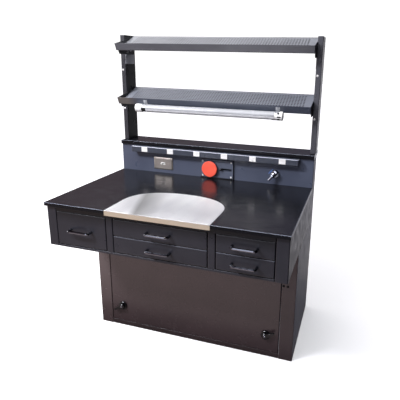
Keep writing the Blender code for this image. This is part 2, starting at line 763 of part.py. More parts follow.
# Riser, ledge and posts
riser_group = group("riser", (0, RISER_FRONT, WORKTOP_HEIGHT))
riser = folded(
    "riser_panel",
    [(-RISER_END, CARCASS_REAR), (-RISER_END, RISER_FRONT),
     (RISER_END, RISER_FRONT), (RISER_END, CARCASS_REAR)],
    "Z", CASE_TOP + GAP, LEDGE_FOOT - GAP,
)
part(
    box("riser_ledge", (-HALF_WIDTH, LEDGE_FRONT, LEDGE_FOOT), (HALF_WIDTH, BACK, LEDGE_HEIGHT),
        rounding=EDGE),
    "black_laminate", riser_group,
)
for label, left, right in (
    ("left", -POST_END, -POST_FACE),
    ("right", POST_FACE, POST_END),
):
    part(
        pan(f"post_{label}", (left, POST_FRONT, LEDGE_HEIGHT + GAP),
            (right, POST_FRONT + POST_DEPTH, BENCH_HEIGHT), (0, 1, 0)),
        "black_paint", riser_group,
    )

# Tray shelves: a tilted base, a lip square to it, and an end plate that is wall and bracket in one
shelf_group = group("shelves", (0, SHELF_FOLD, LOWER_FOLD))
SLOPE = Vector((math.cos(TILT), math.sin(TILT)))       # (y, z) up the base
NORMAL = Vector((-SLOPE.y, SLOPE.x))                   # (y, z) out of the base's top
SHELF_END = POST_FACE - GAP


def shelf(name, fold_z):
    fold = Vector((SHELF_FOLD, fold_z))
    rear = fold + SLOPE * SHELF_BASE
    path = [fold + NORMAL * SHELF_LIP, fold, rear, rear - NORMAL * SHELF_HEM]
    tray = folded(name, [tuple(p) for p in reversed(path)], "X", -SHELF_END, SHELF_END,
                  SHELF_SHEET, SHELF_SHEET + BEND)
    front = fold - SLOPE * (SHELF_SHEET / 2)
    under = NORMAL * (-SHELF_SHEET / 2)
    foot = fold_z - BRACKET_DROP
    end_plate = [
        tuple(front + NORMAL * (SHELF_LIP - EDGE)),
        tuple(front + under),
        tuple(fold + SLOPE * (BRACKET_NOSE / 2) + under),
        (SHELF_FOLD + BRACKET_NOSE, foot),
        (POST_FRONT + POST_DEPTH - BRACKET_DROP, foot),
        tuple(fold + SLOPE * (SHELF_BASE - SHELF_HEM) + under),
    ]
    for side, start in (("left", -SHELF_END), ("right", SHELF_END - SHELF_SHEET)):
        joined(tray, flat(f"{name}_{side}_end", end_plate, "X", start, start + SHELF_SHEET))
    part(tray, "black_paint", shelf_group)


shelf("shelf_upper", UPPER_FOLD)
shelf("shelf_lower", LOWER_FOLD)

# Tubular lamp in two clips on the lower shelf's lip
LAMP_Y = SHELF_FOLD - LAMP_FORWARD
LAMP_Z = LOWER_FOLD - LAMP_DOWN
TUBE_LEFT = -POST_FACE + LAMP_INSET_LEFT + CAP_LENGTH_LEFT + COLLAR_LENGTH
TUBE_RIGHT = POST_FACE - LAMP_INSET_RIGHT - CAP_LENGTH_RIGHT - COLLAR_LENGTH
TUBE_MIDDLE = (TUBE_LEFT + TUBE_RIGHT) / 2
TUBE_HALF = (TUBE_RIGHT - TUBE_LEFT) / 2 - GAP
TUBE_BORE = LAMP_RADIUS - LAMP_WALL
lamp_group = group("lamp", (TUBE_MIDDLE, LAMP_Y, LAMP_Z))
tube = turned(
    "lamp_tube",
    [(TUBE_BORE, TUBE_HALF), (LAMP_RADIUS, TUBE_HALF), (LAMP_RADIUS, -TUBE_HALF),
     (TUBE_BORE, -TUBE_HALF)],
    (TUBE_MIDDLE, LAMP_Y, LAMP_Z), (1, 0, 0), closed=True, steps=40,
)
part(tube, "lamp_glass", lamp_group)
for label, side, tube_end, cap_length in (
    ("left", -1, TUBE_LEFT, CAP_LENGTH_LEFT),
    ("right", 1, TUBE_RIGHT, CAP_LENGTH_RIGHT),
):
    outer = COLLAR_LENGTH + cap_length
    cap = turned(
        f"lamp_cap_{label}",
        [(0, outer), (CAP_RADIUS - 2 * EDGE, outer), (CAP_RADIUS, outer - 2 * EDGE),
         (CAP_RADIUS, COLLAR_LENGTH), (COLLAR_RADIUS, COLLAR_LENGTH - EDGE), (COLLAR_RADIUS, 0),
         (TUBE_BORE - GAP, 0), (TUBE_BORE - GAP, -CAP_PLUG), (0, -CAP_PLUG)],
        (tube_end, LAMP_Y, LAMP_Z), (side, 0, 0),
    )
    part(cap, "white_plastic", lamp_group)

    inner, outer = COLLAR_RADIUS + GAP, COLLAR_RADIUS + GAP + CLIP_WALL
    first = math.radians(-90 + CLIP_MOUTH / 2)
    last = math.radians(270 - CLIP_MOUTH / 2)
    ring = list(arc((LAMP_Y, LAMP_Z), outer, first, last, 24))
    ring += list(arc((LAMP_Y, LAMP_Z), inner, last, first, 24))
    middle = tube_end + side * COLLAR_LENGTH / 2
    clip = flat(f"lamp_clip_{label}", ring, "X", middle - CLIP_WIDTH / 2, middle + CLIP_WIDTH / 2)
    lip_foot = Vector((SHELF_FOLD, LOWER_FOLD)) - SLOPE * (SHELF_SHEET + GAP)
    centre = Vector((LAMP_Y, LAMP_Z))
    outward = (lip_foot - SLOPE * CLIP_WALL - centre).normalized()
    root = centre + outward * (inner + CLIP_WALL / 2)
    across = Vector((outward.y, -outward.x)) * CLIP_WALL
    tab = [
        tuple(root + across),
        tuple(lip_foot + NORMAL * CLIP_WALL),
        tuple(lip_foot + NORMAL * CLIP_TAB),
        tuple(lip_foot + NORMAL * CLIP_TAB - SLOPE * CLIP_WALL),
        tuple(root - across),
    ]
    joined(clip, flat(f"lamp_clip_{label}_tab", tab, "X",
                      middle - CLIP_WIDTH / 2, middle + CLIP_WIDTH / 2))
    part(clip, "clip_plastic", lamp_group)

# Power strip under the ledge
strip_group = group("strip", (0, STRIP_FRONT, STRIP_Z))
strip = pan(
    "power_strip",
    (-HALF_WIDTH + STRIP_INSET_LEFT, STRIP_FRONT, STRIP_Z - STRIP_HEIGHT / 2),
    (HALF_WIDTH - STRIP_INSET_RIGHT, RISER_FRONT - GAP, STRIP_Z + STRIP_HEIGHT / 2),
    (0, 1, 0),
)
SOCKET_Z = STRIP_Z + SOCKET_RAISE
for number in range(SOCKET_COUNT):
    x = SOCKET_SHIFT + (number - (SOCKET_COUNT - 1) / 2) * SOCKET_PITCH
    half_w, half_h = SOCKET_WIDTH / 2 - SOCKET_RIM, SOCKET_HEIGHT / 2 - SOCKET_RIM
    cut(strip, box(
        f"socket_{number + 1}_opening",
        (x - half_w - GAP, STRIP_FRONT - SHEET, SOCKET_Z - half_h - GAP),
        (x + half_w + GAP, STRIP_FRONT + 2 * SHEET, SOCKET_Z + half_h + GAP),
    ))
    socket = box(
        f"socket_{number + 1}",
        (x - SOCKET_WIDTH / 2, STRIP_FRONT - GAP - SOCKET_PROUD, SOCKET_Z - SOCKET_HEIGHT / 2),
        (x + SOCKET_WIDTH / 2, STRIP_FRONT - GAP, SOCKET_Z + SOCKET_HEIGHT / 2),
    )
    face = STRIP_FRONT - GAP - SOCKET_PROUD
    joined(socket, box(
        f"socket_{number + 1}_body",
        (x - half_w, face + SOCKET_PROUD / 2, SOCKET_Z - half_h),
        (x + half_w, STRIP_FRONT + SOCKET_BODY, SOCKET_Z + half_h),
    ))
    slot_w, slot_h = BLADE_SLOT
    for side in (-1, 1):
        slot_x = x + side * BLADE_SPACING / 2
        cut(socket, box(
            f"socket_{number + 1}_blade_{'left' if side < 0 else 'right'}",
            (slot_x - slot_w / 2, face - CONTACT_DEPTH, SOCKET_Z + EARTH_DROP / 2 - slot_h / 2),
            (slot_x + slot_w / 2, face + CONTACT_DEPTH, SOCKET_Z + EARTH_DROP / 2 + slot_h / 2),
        ))
    cut(socket, turned(
        f"socket_{number + 1}_earth",
        [(0, CONTACT_DEPTH), (EARTH_HOLE, CONTACT_DEPTH), (EARTH_HOLE, -CONTACT_DEPTH),
         (0, -CONTACT_DEPTH)],
        (x, face, SOCKET_Z - EARTH_DROP), (0, -1, 0), steps=12,
    ))
    part(socket, "white_plastic", strip_group)
part(strip, "black_paint", strip_group)

# Light switch
SWITCH_Z = WORKTOP_HEIGHT + SWITCH_UP
switch_group = group("switch", (SWITCH_X, RISER_FRONT, SWITCH_Z))
plate_w, plate_h = SWITCH_PLATE
slot_w, slot_h = SWITCH_SLOT
body_w, body_h, body_d = SWITCH_BODY
plate_back = RISER_FRONT - GAP
switch_plate = pan(
    "switch_plate",
    (SWITCH_X - plate_w / 2, plate_back - SWITCH_RAISE, SWITCH_Z - plate_h / 2),
    (SWITCH_X + plate_w / 2, plate_back - SWITCH_SHEET, SWITCH_Z + plate_h / 2),
    (0, 1, 0), SWITCH_SHEET, SWITCH_SHEET + EDGE, SWITCH_SLOPE,
)
cut(switch_plate, box(
    "switch_slot",
    (SWITCH_X - slot_w / 2, plate_back - 2 * SWITCH_RAISE, SWITCH_Z - slot_h / 2),
    (SWITCH_X + slot_w / 2, plate_back + SWITCH_RAISE, SWITCH_Z + slot_h / 2),
))
part(switch_plate, "stainless", switch_group)
body_front = plate_back + GAP
pivot = Vector((SWITCH_X, body_front + TOGGLE_INSET, SWITCH_Z))
switch_body = box(
    "switch_body",
    (SWITCH_X - body_w / 2, body_front, SWITCH_Z - body_h / 2),
    (SWITCH_X + body_w / 2, body_front + body_d, SWITCH_Z + body_h / 2),
)
barrel_half = slot_h / 2 - GAP
cut(switch_body, turned(
    "switch_well",
    [(0, slot_h / 2), (TOGGLE_BARREL + GAP, slot_h / 2), (TOGGLE_BARREL + GAP, -slot_h / 2),
     (0, -slot_h / 2)],
    pivot, (0, 0, 1),
))
part(switch_body, "black_plastic", switch_group)
toggle = turned(
    "switch_toggle",
    [(0, barrel_half), (TOGGLE_BARREL, barrel_half), (TOGGLE_BARREL, -barrel_half),
     (0, -barrel_half)],
    pivot, (0, 0, 1),
)
lean = math.radians(TOGGLE_LEAN)
lever_w, lever_h = TOGGLE_LEVER
lever_shape = cube((-lever_w / 2, -TOGGLE_LENGTH, -lever_h / 2), (lever_w / 2, 0, lever_h / 2))
draw_in(lever_shape, (0, -1, 0), (TOGGLE_TAPER, 1, TOGGLE_TAPER))
toggle_lever = mesh_piece("toggle_lever", lever_shape)
toggle_lever.location = pivot
toggle_lever.rotation_euler = (0, 0, -lean)
bevel(toggle_lever, EDGE)
joined(toggle, toggle_lever)
part(toggle, "white_plastic", switch_group)
cut(riser, box(
    "switch_opening",
    (SWITCH_X - body_w / 2 - GAP, RISER_FRONT - SHEET, SWITCH_Z - body_h / 2 - GAP),
    (SWITCH_X + body_w / 2 + GAP, RISER_FRONT + 2 * SHEET, SWITCH_Z + body_h / 2 + GAP),
))

# Suction port: plate with a collar, pull-off cap, sliding gate and rear spigot
PORT_Z = WORKTOP_HEIGHT + PORT_UP
port_group = group("port", (PORT_X, RISER_FRONT, PORT_Z))
port_w, port_h = PORT_PLATE
bore_x = PORT_X - PORT_OFFSET
port_front = RISER_FRONT - GAP - PORT_THICKNESS
port_back = RISER_FRONT - GAP
window_w, window_h = port_w / 2 - WINDOW_SIDE, port_h / 2 - WINDOW_TOP
cut(riser, box(
    "port_window",
    (PORT_X - window_w, RISER_FRONT - SHEET, PORT_Z - window_h),
    (PORT_X + window_w, RISER_FRONT + 2 * SHEET, PORT_Z + window_h),
))
port_plate = box(
    "port_plate",
    (PORT_X - port_w / 2, port_front, PORT_Z - port_h / 2),
    (PORT_X + port_w / 2, port_back, PORT_Z + port_h / 2),
    rounding=EDGE,
)
joined(port_plate, turned(
    "port_collar",
    [(0, PORT_COLLAR_DEPTH), (PORT_COLLAR, PORT_COLLAR_DEPTH), (PORT_COLLAR, -PORT_THICKNESS / 2),
     (0, -PORT_THICKNESS / 2)],
    (bore_x, port_front, PORT_Z), (0, -1, 0), steps=40,
))
cut(port_plate, turned(
    "port_bore",
    [(0, 2 * PORT_COLLAR_DEPTH), (PORT_MOUTH, 2 * PORT_COLLAR_DEPTH),
     (PORT_MOUTH, PORT_COLLAR_DEPTH), (PORT_BORE, 0), (PORT_BORE, -2 * PORT_THICKNESS),
     (0, -2 * PORT_THICKNESS)],
    (bore_x, port_front, PORT_Z), (0, -1, 0), steps=40,
))
pin_x = PORT_X + GATE_PIN_OFFSET
slot_half = GATE_PIN + GAP
slot_ends = (pin_x, pin_x + GATE_TRAVEL)
slot_outline = list(arc((slot_ends[0], PORT_Z), slot_half, math.pi / 2, 1.5 * math.pi, 8))
slot_outline += list(arc((slot_ends[1], PORT_Z), slot_half, -math.pi / 2, math.pi / 2, 8))
cut(port_plate, flat("gate_slot", slot_outline, "Y",
                     port_front - PORT_THICKNESS, port_back + PORT_THICKNESS))

blade_front = port_back + GAP
blade_back = blade_front + GATE_THICKNESS
blade_half = PORT_BORE + GATE_LAP
blade_right = pin_x + GATE_TAIL
guide_left, guide_right = bore_x - PORT_BORE - 2 * GATE_LAP, blade_right + GATE_TRAVEL
for label, side in (("lower", -1), ("upper", 1)):
    inner, outer = side * (blade_half + GAP), side * (blade_half + GAP + GUIDE_HEIGHT)
    joined(port_plate, box(
        f"gate_guide_{label}",
        (guide_left, port_back - PORT_THICKNESS / 2, PORT_Z + min(inner, outer)),
        (guide_right, blade_back + GAP, PORT_Z + max(inner, outer)),
    ))
part(port_plate, "black_plastic", port_group)

gate = box(
    "gate_slide",
    (bore_x - PORT_BORE - GATE_LAP, blade_front, PORT_Z - blade_half),
    (blade_right, blade_back, PORT_Z + blade_half),
)
joined(gate, turned(
    "gate_pin",
    [(0, GATE_KNOB_REACH), (GATE_KNOB - EDGE, GATE_KNOB_REACH), (GATE_KNOB, GATE_KNOB_REACH - EDGE),
     (GATE_KNOB, GAP), (GATE_PIN, GAP), (GATE_PIN, -PORT_THICKNESS - 2 * GAP - GATE_THICKNESS / 2),
     (0, -PORT_THICKNESS - 2 * GAP - GATE_THICKNESS / 2)],
    (pin_x, port_front, PORT_Z), (0, -1, 0), steps=20,
))
part(gate, "black_plastic", port_group)

spigot_front = blade_back + 2 * GAP
spigot = box(
    "port_spigot",
    (guide_left, spigot_front, PORT_Z - blade_half - GUIDE_HEIGHT),
    (blade_right, spigot_front + SPIGOT_FLANGE, PORT_Z + blade_half + GUIDE_HEIGHT),
)
spigot_outer = PORT_BORE + SPIGOT_WALL
joined(spigot, turned(
    "spigot_tube",
    [(0, SPIGOT_LENGTH), (spigot_outer, SPIGOT_LENGTH), (spigot_outer, SPIGOT_FLANGE / 2),
     (0, SPIGOT_FLANGE / 2)],
    (bore_x, spigot_front, PORT_Z), (0, 1, 0), steps=40,
))
cut(spigot, turned(
    "spigot_bore",
    [(0, 2 * SPIGOT_LENGTH), (PORT_BORE, 2 * SPIGOT_LENGTH), (PORT_BORE, -SPIGOT_FLANGE),
     (0, -SPIGOT_FLANGE)],
    (bore_x, spigot_front, PORT_Z), (0, 1, 0), steps=40,
))
part(spigot, "black_plastic", port_group)

face_in = PORT_COLLAR_DEPTH + GAP
face_out = face_in + PORT_CAP_FACE
ring_foot = PORT_COLLAR_DEPTH - PORT_CAP_PLUG
ring_top = PORT_MOUTH - PORT_CAP_PLAY
ring_end = ring_top - (PORT_MOUTH - PORT_BORE) * PORT_CAP_PLUG / PORT_COLLAR_DEPTH
port_cap = turned(
    "port_cap",
    [(0, face_out), (PORT_CAP - 2 * EDGE, face_out), (PORT_CAP, face_out - 2 * EDGE),
     (PORT_CAP, face_in + EDGE), (PORT_CAP - EDGE, face_in), (ring_top, face_in),
     (ring_end, ring_foot), (ring_end - PORT_CAP_WALL, ring_foot), (ring_top - PORT_CAP_WALL, face_in),
     (0, face_in)],
    (bore_x, port_front, PORT_Z), (0, -1, 0), steps=48,
)
part(port_cap, "red_plastic", port_group)

# Air valve: wall flange, a small ball valve with a hose barb, and its wing handle
VALVE_Z = WORKTOP_HEIGHT + VALVE_UP
valve_group = group("valve", (VALVE_X, RISER_FRONT - VALVE_REACH, VALVE_Z))
flange_r, flange_d = VALVE_FLANGE
ball_r, ball_l = VALVE_BALL
spindle_r, spindle_end = VALVE_SPINDLE
drop, swing = math.radians(VALVE_DROP), math.radians(VALVE_SWING)
flow = Vector((-math.cos(drop) * math.cos(swing), -math.sin(swing), -math.sin(drop) * math.cos(swing)))
stem_axis = Vector((-math.sin(drop), 0, math.cos(drop)))          # square to the flow
valve_root = Vector((VALVE_X, RISER_FRONT, VALVE_Z))
valve_middle = valve_root + Vector((0, -VALVE_REACH, 0))
valve_body = turned(
    "valve_body",
    [(0, VALVE_REACH), (VALVE_STEM, VALVE_REACH), (VALVE_STEM, GAP + flange_d),
     (flange_r - EDGE, GAP + flange_d), (flange_r, GAP + flange_d - EDGE), (flange_r, GAP), (0, GAP)],
    valve_root, (0, -1, 0),
)
barb_end = VALVE_OUTLET + BARB_LENGTH
ridge = BARB_LENGTH / (BARB_RIDGES + 1)
barrel = [(0, barb_end), (BARB_RADIUS * BARB_NECK, barb_end)]
for i in range(BARB_RIDGES):
    low = barb_end - (i + 1) * ridge
    barrel += [(BARB_RADIUS, low), (BARB_RADIUS * BARB_NECK, low)]
barrel += [
    (BARB_RADIUS * BARB_NECK, VALVE_OUTLET), (VALVE_ENDS - EDGE, VALVE_OUTLET),
    (VALVE_ENDS, VALVE_OUTLET - EDGE), (VALVE_ENDS, ball_l / 2 + EDGE), (ball_r, ball_l / 2 - EDGE),
    (ball_r, -ball_l / 2 + EDGE), (VALVE_ENDS, -ball_l / 2 - EDGE), (VALVE_ENDS, -VALVE_INLET + EDGE),
    (VALVE_ENDS - EDGE, -VALVE_INLET), (0, -VALVE_INLET),
]
joined(valve_body, turned("valve_barrel", barrel, valve_middle, flow, steps=24))
joined(valve_body, turned(
    "valve_spindle",
    [(0, spindle_end), (spindle_r, spindle_end), (spindle_r, 0), (0, 0)],
    valve_middle, stem_axis, steps=16,
))
part(valve_body, "chrome", valve_group)

hub_r, hub_h = WING_HUB
wing_foot = spindle_end + GAP
valve_lever = turned(
    "valve_lever",
    [(0, wing_foot + hub_h), (hub_r - EDGE, wing_foot + hub_h), (hub_r, wing_foot + hub_h - EDGE),
     (hub_r, wing_foot), (0, wing_foot)],
    valve_middle, stem_axis, steps=24,
)
wing = box(
    "valve_wing",
    (-WING_LENGTH / 2, -WING_WIDTH / 2, wing_foot + EDGE),
    (WING_LENGTH / 2, WING_WIDTH / 2, wing_foot + EDGE + WING_DEPTH),
    rounding=EDGE, origin=(0, 0, 0),
)
wing.location = valve_middle
wing.rotation_euler = Matrix((flow, stem_axis.cross(flow), stem_axis)).transposed().to_euler()
joined(valve_lever, wing)
part(valve_lever, "blue_plastic", valve_group)
part(riser, "black_paint", riser_group)

for piece in PARTS.objects:
    if piece.type == "MESH":
        piece.data.shade_smooth()
        piece.data.set_sharp_from_angle(angle=math.radians(30))
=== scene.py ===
"""Looks of the ceramist bench: finishes, fine pieces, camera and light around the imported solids."""

import logging
import math
from dataclasses import dataclass
from enum import Enum
from typing import Iterable, Sequence, Union

import bmesh
import bpy
from mathutils import Matrix, Vector


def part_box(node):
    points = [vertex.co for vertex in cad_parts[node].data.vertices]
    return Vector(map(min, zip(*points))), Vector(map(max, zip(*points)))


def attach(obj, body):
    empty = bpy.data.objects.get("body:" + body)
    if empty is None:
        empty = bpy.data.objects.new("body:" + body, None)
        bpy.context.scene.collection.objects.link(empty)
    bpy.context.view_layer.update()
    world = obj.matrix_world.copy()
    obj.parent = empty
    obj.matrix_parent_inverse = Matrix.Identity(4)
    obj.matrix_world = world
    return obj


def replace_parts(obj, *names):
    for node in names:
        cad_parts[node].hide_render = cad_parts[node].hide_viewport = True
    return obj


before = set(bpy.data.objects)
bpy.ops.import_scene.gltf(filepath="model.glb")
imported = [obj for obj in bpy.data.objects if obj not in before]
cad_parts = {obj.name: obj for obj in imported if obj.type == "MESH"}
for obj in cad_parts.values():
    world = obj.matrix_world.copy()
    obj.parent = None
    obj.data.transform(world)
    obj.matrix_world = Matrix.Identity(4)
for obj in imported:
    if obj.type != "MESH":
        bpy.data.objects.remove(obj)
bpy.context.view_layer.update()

Material = bpy.types.Material
Node = bpy.types.Node
Shape = bmesh.types.BMesh
Socket = bpy.types.NodeSocket
Tree = bpy.types.NodeTree
Source = Union[Node, Socket]
Point = Sequence[float]
Input = Union[Source, float, Point]
Span = tuple[float, float]
Seats = Iterable[tuple[Point, float]]

LOG = logging.getLogger("ceramist_bench")
MM = 0.001
WELD = 1e-7
CARCASS = "carcass"
ENDS = (("left", -1), ("right", 1))
FORWARD = (0, -1, 0)
BACKWARD = (0, 1, 0)

# Values of a noise between which a finish changes
BROAD = (0.3, 0.7)
TIGHT = (0.35, 0.65)

# Rise of a normal that leaves an upright face, and that comes to a level one: the band of a painted arris
# highlight
LEAN = (0.15, 0.45)
LEVEL = (0.88, 0.97)

# Sideways share of a normal that comes to the side of a sheet, where a painted side shade takes over
SIDEWAYS = (0.5, 0.8)


class Run(Enum):
    """Direction in which a brushed finish was ground."""

    ACROSS = 0
    DEEP = 1


class Drive(Enum):
    """How a screw is turned."""

    CROSS = "cross"
    SLOT = "slot"
    HEX = "hex"


def linear(shade: str) -> tuple[float, float, float, float]:
    """Turn an sRGB hex value to linear colour.

    Args:
        shade: Colour as "#rrggbb".

    Returns:
        Red, green, blue and alpha in linear light.
    """
    steps = (int(shade[i:i + 2], 16) / 255 for i in (1, 3, 5))
    light = [v / 12.92 if v <= 0.04045 else ((v + 0.055) / 1.055) ** 2.4 for v in steps]
    return (*light, 1.0)


def add(tree: Tree, kind: str, settings: dict | None = None, *values: Input, **inputs: Input) -> Node:
    """Add a node with its settings and links.

    Args:
        tree: Node tree that takes the node.
        kind: Blender's name of the node, after "ShaderNode".
        settings: Properties by name.
        *values: Sockets in order: a value is set, and an output or a node's first output is linked.
        **inputs: Sockets by name, with _ for a space.

    Returns:
        The new node.
    """
    made = tree.nodes.new(f"ShaderNode{kind}")
    for name, value in (settings or {}).items():
        setattr(made, name, value)
    pairs = list(zip(made.inputs, values))
    pairs += [(made.inputs[name.replace("_", " ")], value) for name, value in inputs.items()]
    for socket, value in pairs:
        if isinstance(value, Node):
            value = value.outputs[0]
        if isinstance(value, Socket):
            tree.links.new(value, socket)
        else:
            socket.default_value = value
    return made


def blank(name: str) -> tuple[Material, Tree, Socket]:
    """Start a node material.

    Args:
        name: Name of the material.

    Returns:
        The material, its emptied tree, and the output of its object coordinates in metres.
    """
    material = bpy.data.materials.new(name)
    material.use_nodes = True
    tree = material.node_tree
    tree.nodes.clear()
    return material, tree, add(tree, "TexCoord").outputs["Object"]


def close(tree: Tree, shader: Node) -> None:
    """Lead a shader to the material's output."""
    add(tree, "OutputMaterial", Surface=shader)


def ramp(tree: Tree, value: Source, stops: Sequence[tuple[float, str]]) -> Node:
    """Read a ramp of colours.

    Args:
        tree: Node tree that takes it.
        value: What reads the ramp.
        stops: Values in rising order, each with its colour.

    Returns:
        The node with the colour at the value.
    """
    first, last = stops[0][0], stops[-1][0]
    share = add(tree, "MapRange", Value=value, From_Min=first, From_Max=last)
    node = add(tree, "ValToRGB", Fac=share)
    bar = node.color_ramp.elements
    bar.remove(bar[0])
    bar[0].position, bar[0].color = 0.0, linear(stops[0][1])
    for spot, shade in stops[1:]:
        bar.new((spot - first) / (last - first)).color = linear(shade)
    return node


def lightened(tree: Tree, colour: Source, normal: Source, shade: str) -> Node:
    """Lighten the arrises that look up with a painted highlight, the bright line that a rounded arris
    catches.

    Args:
        tree: Node tree of the finish.
        colour: Colour of the flat faces.
        normal: Normal rounded over the arrises.
        shade: Colour of the painted highlight.

    Returns:
        The node with the colour and its painted arris highlights.
    """
    rise = add(tree, "SeparateXYZ", Vector=normal).outputs["Z"]
    eased = {"interpolation_type": "SMOOTHSTEP"}
    lean = add(tree, "MapRange", eased, Value=rise, From_Min=LEAN[0], From_Max=LEAN[1])
    flat = add(tree, "MapRange", eased, Value=rise, From_Min=LEVEL[0], From_Max=LEVEL[1], To_Min=1.0,
               To_Max=0.0)
    both = add(tree, "Math", {"operation": "MULTIPLY"}, lean, flat)
    return add(tree, "MixRGB", Fac=both, Color1=colour, Color2=linear(shade))


@dataclass(frozen=True)
class Finish:
    """Two shades that drift into each other, and a roughness from the cleanest place to the dullest."""

    name: str
    shade: str
    deep_shade: str
    rough: Span = (0.30, 0.30)

    def tinted(self, tree: Tree, drift: Source, span: Span = BROAD) -> Node:
        """Let the shades follow a pattern over a span of its values."""
        return ramp(tree, drift, ((span[0], self.deep_shade), (span[1], self.shade)))

    def glossed(self, tree: Tree, drift: Source, span: Span = BROAD) -> Node:
        """Let the roughness follow a pattern over a span of its values."""
        return add(tree, "MapRange", Value=drift, From_Min=span[0], From_Max=span[1], To_Min=self.rough[0],
                   To_Max=self.rough[1])


@dataclass(frozen=True)
class Enamel(Finish):
    """Stoving enamel sprayed on sheet steel.

    The spray leaves a fine orange peel, the gloss varies a little from place to place, and folds
    and arrises catch the light as thin lines. A painted highlight lightens the arrises that look up.
    Levels multiply the colour along an axis as painted shade and light, and a painted side shade
    takes over on faces that look sideways, standing for the light that falls on them.
    """

    rough: Span = (0.27, 0.41)
    peel_mm: float = 2.4
    peel_height_mm: float = 0.012
    cloud_mm: float = 160.0
    smear_mm: float = 45.0
    arris_mm: float = 1.2
    arris_highlight: str = ""
    painted_side_shade: str = ""
    levels: tuple[tuple[float, str], ...] = ()
    levels_axis: str = "Z"

    def material(self) -> Material:
        """Build the node material.

        Returns:
            The new material.
        """
        material, tree, place = blank(self.name)
        cloud = add(tree, "TexNoise", Vector=place, Scale=1 / (self.cloud_mm * MM), Detail=3.0)
        colour = self.tinted(tree, cloud, TIGHT)
        # Painted shade and light along an axis
        if self.levels:
            along = add(tree, "SeparateXYZ", Vector=place).outputs[self.levels_axis]
            level_shade = ramp(tree, along, [(spot * MM, shade) for spot, shade in self.levels])
            colour = add(tree, "MixRGB", {"blend_type": "MULTIPLY"}, Fac=1.0, Color1=colour, Color2=level_shade)
        arris = add(tree, "Bevel", {"samples": 4}, Radius=self.arris_mm * MM)
        # Painted side shade on the faces that look sideways
        if self.painted_side_shade:
            across = add(tree, "SeparateXYZ", Vector=arris).outputs["X"]
            turned = add(tree, "Math", {"operation": "ABSOLUTE"}, across)
            share = add(tree, "MapRange", Value=turned, From_Min=SIDEWAYS[0], From_Max=SIDEWAYS[1])
            colour = add(tree, "MixRGB", Fac=share, Color1=colour, Color2=linear(self.painted_side_shade))
        # Painted highlight on the arrises that look up
        if self.arris_highlight:
            colour = lightened(tree, colour, arris, self.arris_highlight)
        smear = add(tree, "TexNoise", Vector=place, Scale=1 / (self.smear_mm * MM), Detail=5.0)
        peel = add(tree, "TexNoise", Vector=place, Scale=1 / (self.peel_mm * MM), Detail=1.0)
        bump = add(tree, "Bump", Height=peel, Strength=0.5, Distance=self.peel_height_mm * MM, Normal=arris)
        close(tree, add(tree, "BsdfPrincipled", Base_Color=colour, Roughness=self.glossed(tree, smear),
                        IOR=1.5, Normal=bump))
        return material


@dataclass(frozen=True)
class Laminate(Finish):
    """High-pressure laminate, polished by use.

    A smooth dark sheet that mirrors what stands on it, with faint wipe marks in its gloss and duller
    edges. A painted highlight lightens its arrises that look up.
    """

    rough: Span = (0.18, 0.26)
    wipe_mm: float = 70.0
    wipe_stretch: tuple[float, float, float] = (1.0, 2.6, 1.0)
    wipe_turn: float = 0.35
    grain_mm: float = 1.6
    grain_height_mm: float = 0.006
    arris_mm: float = 3.0
    # Colour of the painted highlight on the arrises
    arris_highlight: str = "#868c9a"
    shine: Span = (0.2, 0.5)
    shine_rise: Span = (0.1, 0.4)

    def material(self) -> Material:
        """Build the node material.

        Returns:
            The new material.
        """
        material, tree, place = blank(self.name)
        flow = add(tree, "Mapping", Vector=place, Scale=self.wipe_stretch, Rotation=(0, 0, self.wipe_turn))
        wipe = add(tree, "TexNoise", Vector=flow, Scale=1 / (self.wipe_mm * MM), Detail=6.0, Distortion=0.6)
        grain = add(tree, "TexNoise", Vector=place, Scale=1 / (self.grain_mm * MM), Detail=2.0)
        arris = add(tree, "Bevel", {"samples": 4}, Radius=self.arris_mm * MM)
        bump = add(tree, "Bump", Height=grain, Strength=0.4, Distance=self.grain_height_mm * MM, Normal=arris)
        rise = add(tree, "SeparateXYZ", Vector=arris).outputs["Z"]
        shine = add(tree, "MapRange", Value=rise, From_Min=self.shine_rise[0], From_Max=self.shine_rise[1],
                    To_Min=self.shine[0], To_Max=self.shine[1])
        colour = lightened(tree, self.tinted(tree, wipe), arris, self.arris_highlight)
        close(tree, add(tree, "BsdfPrincipled", Base_Color=colour, Roughness=self.glossed(tree, wipe, TIGHT),
                        IOR=1.5, Normal=bump, Specular_IOR_Level=shine))
        return material


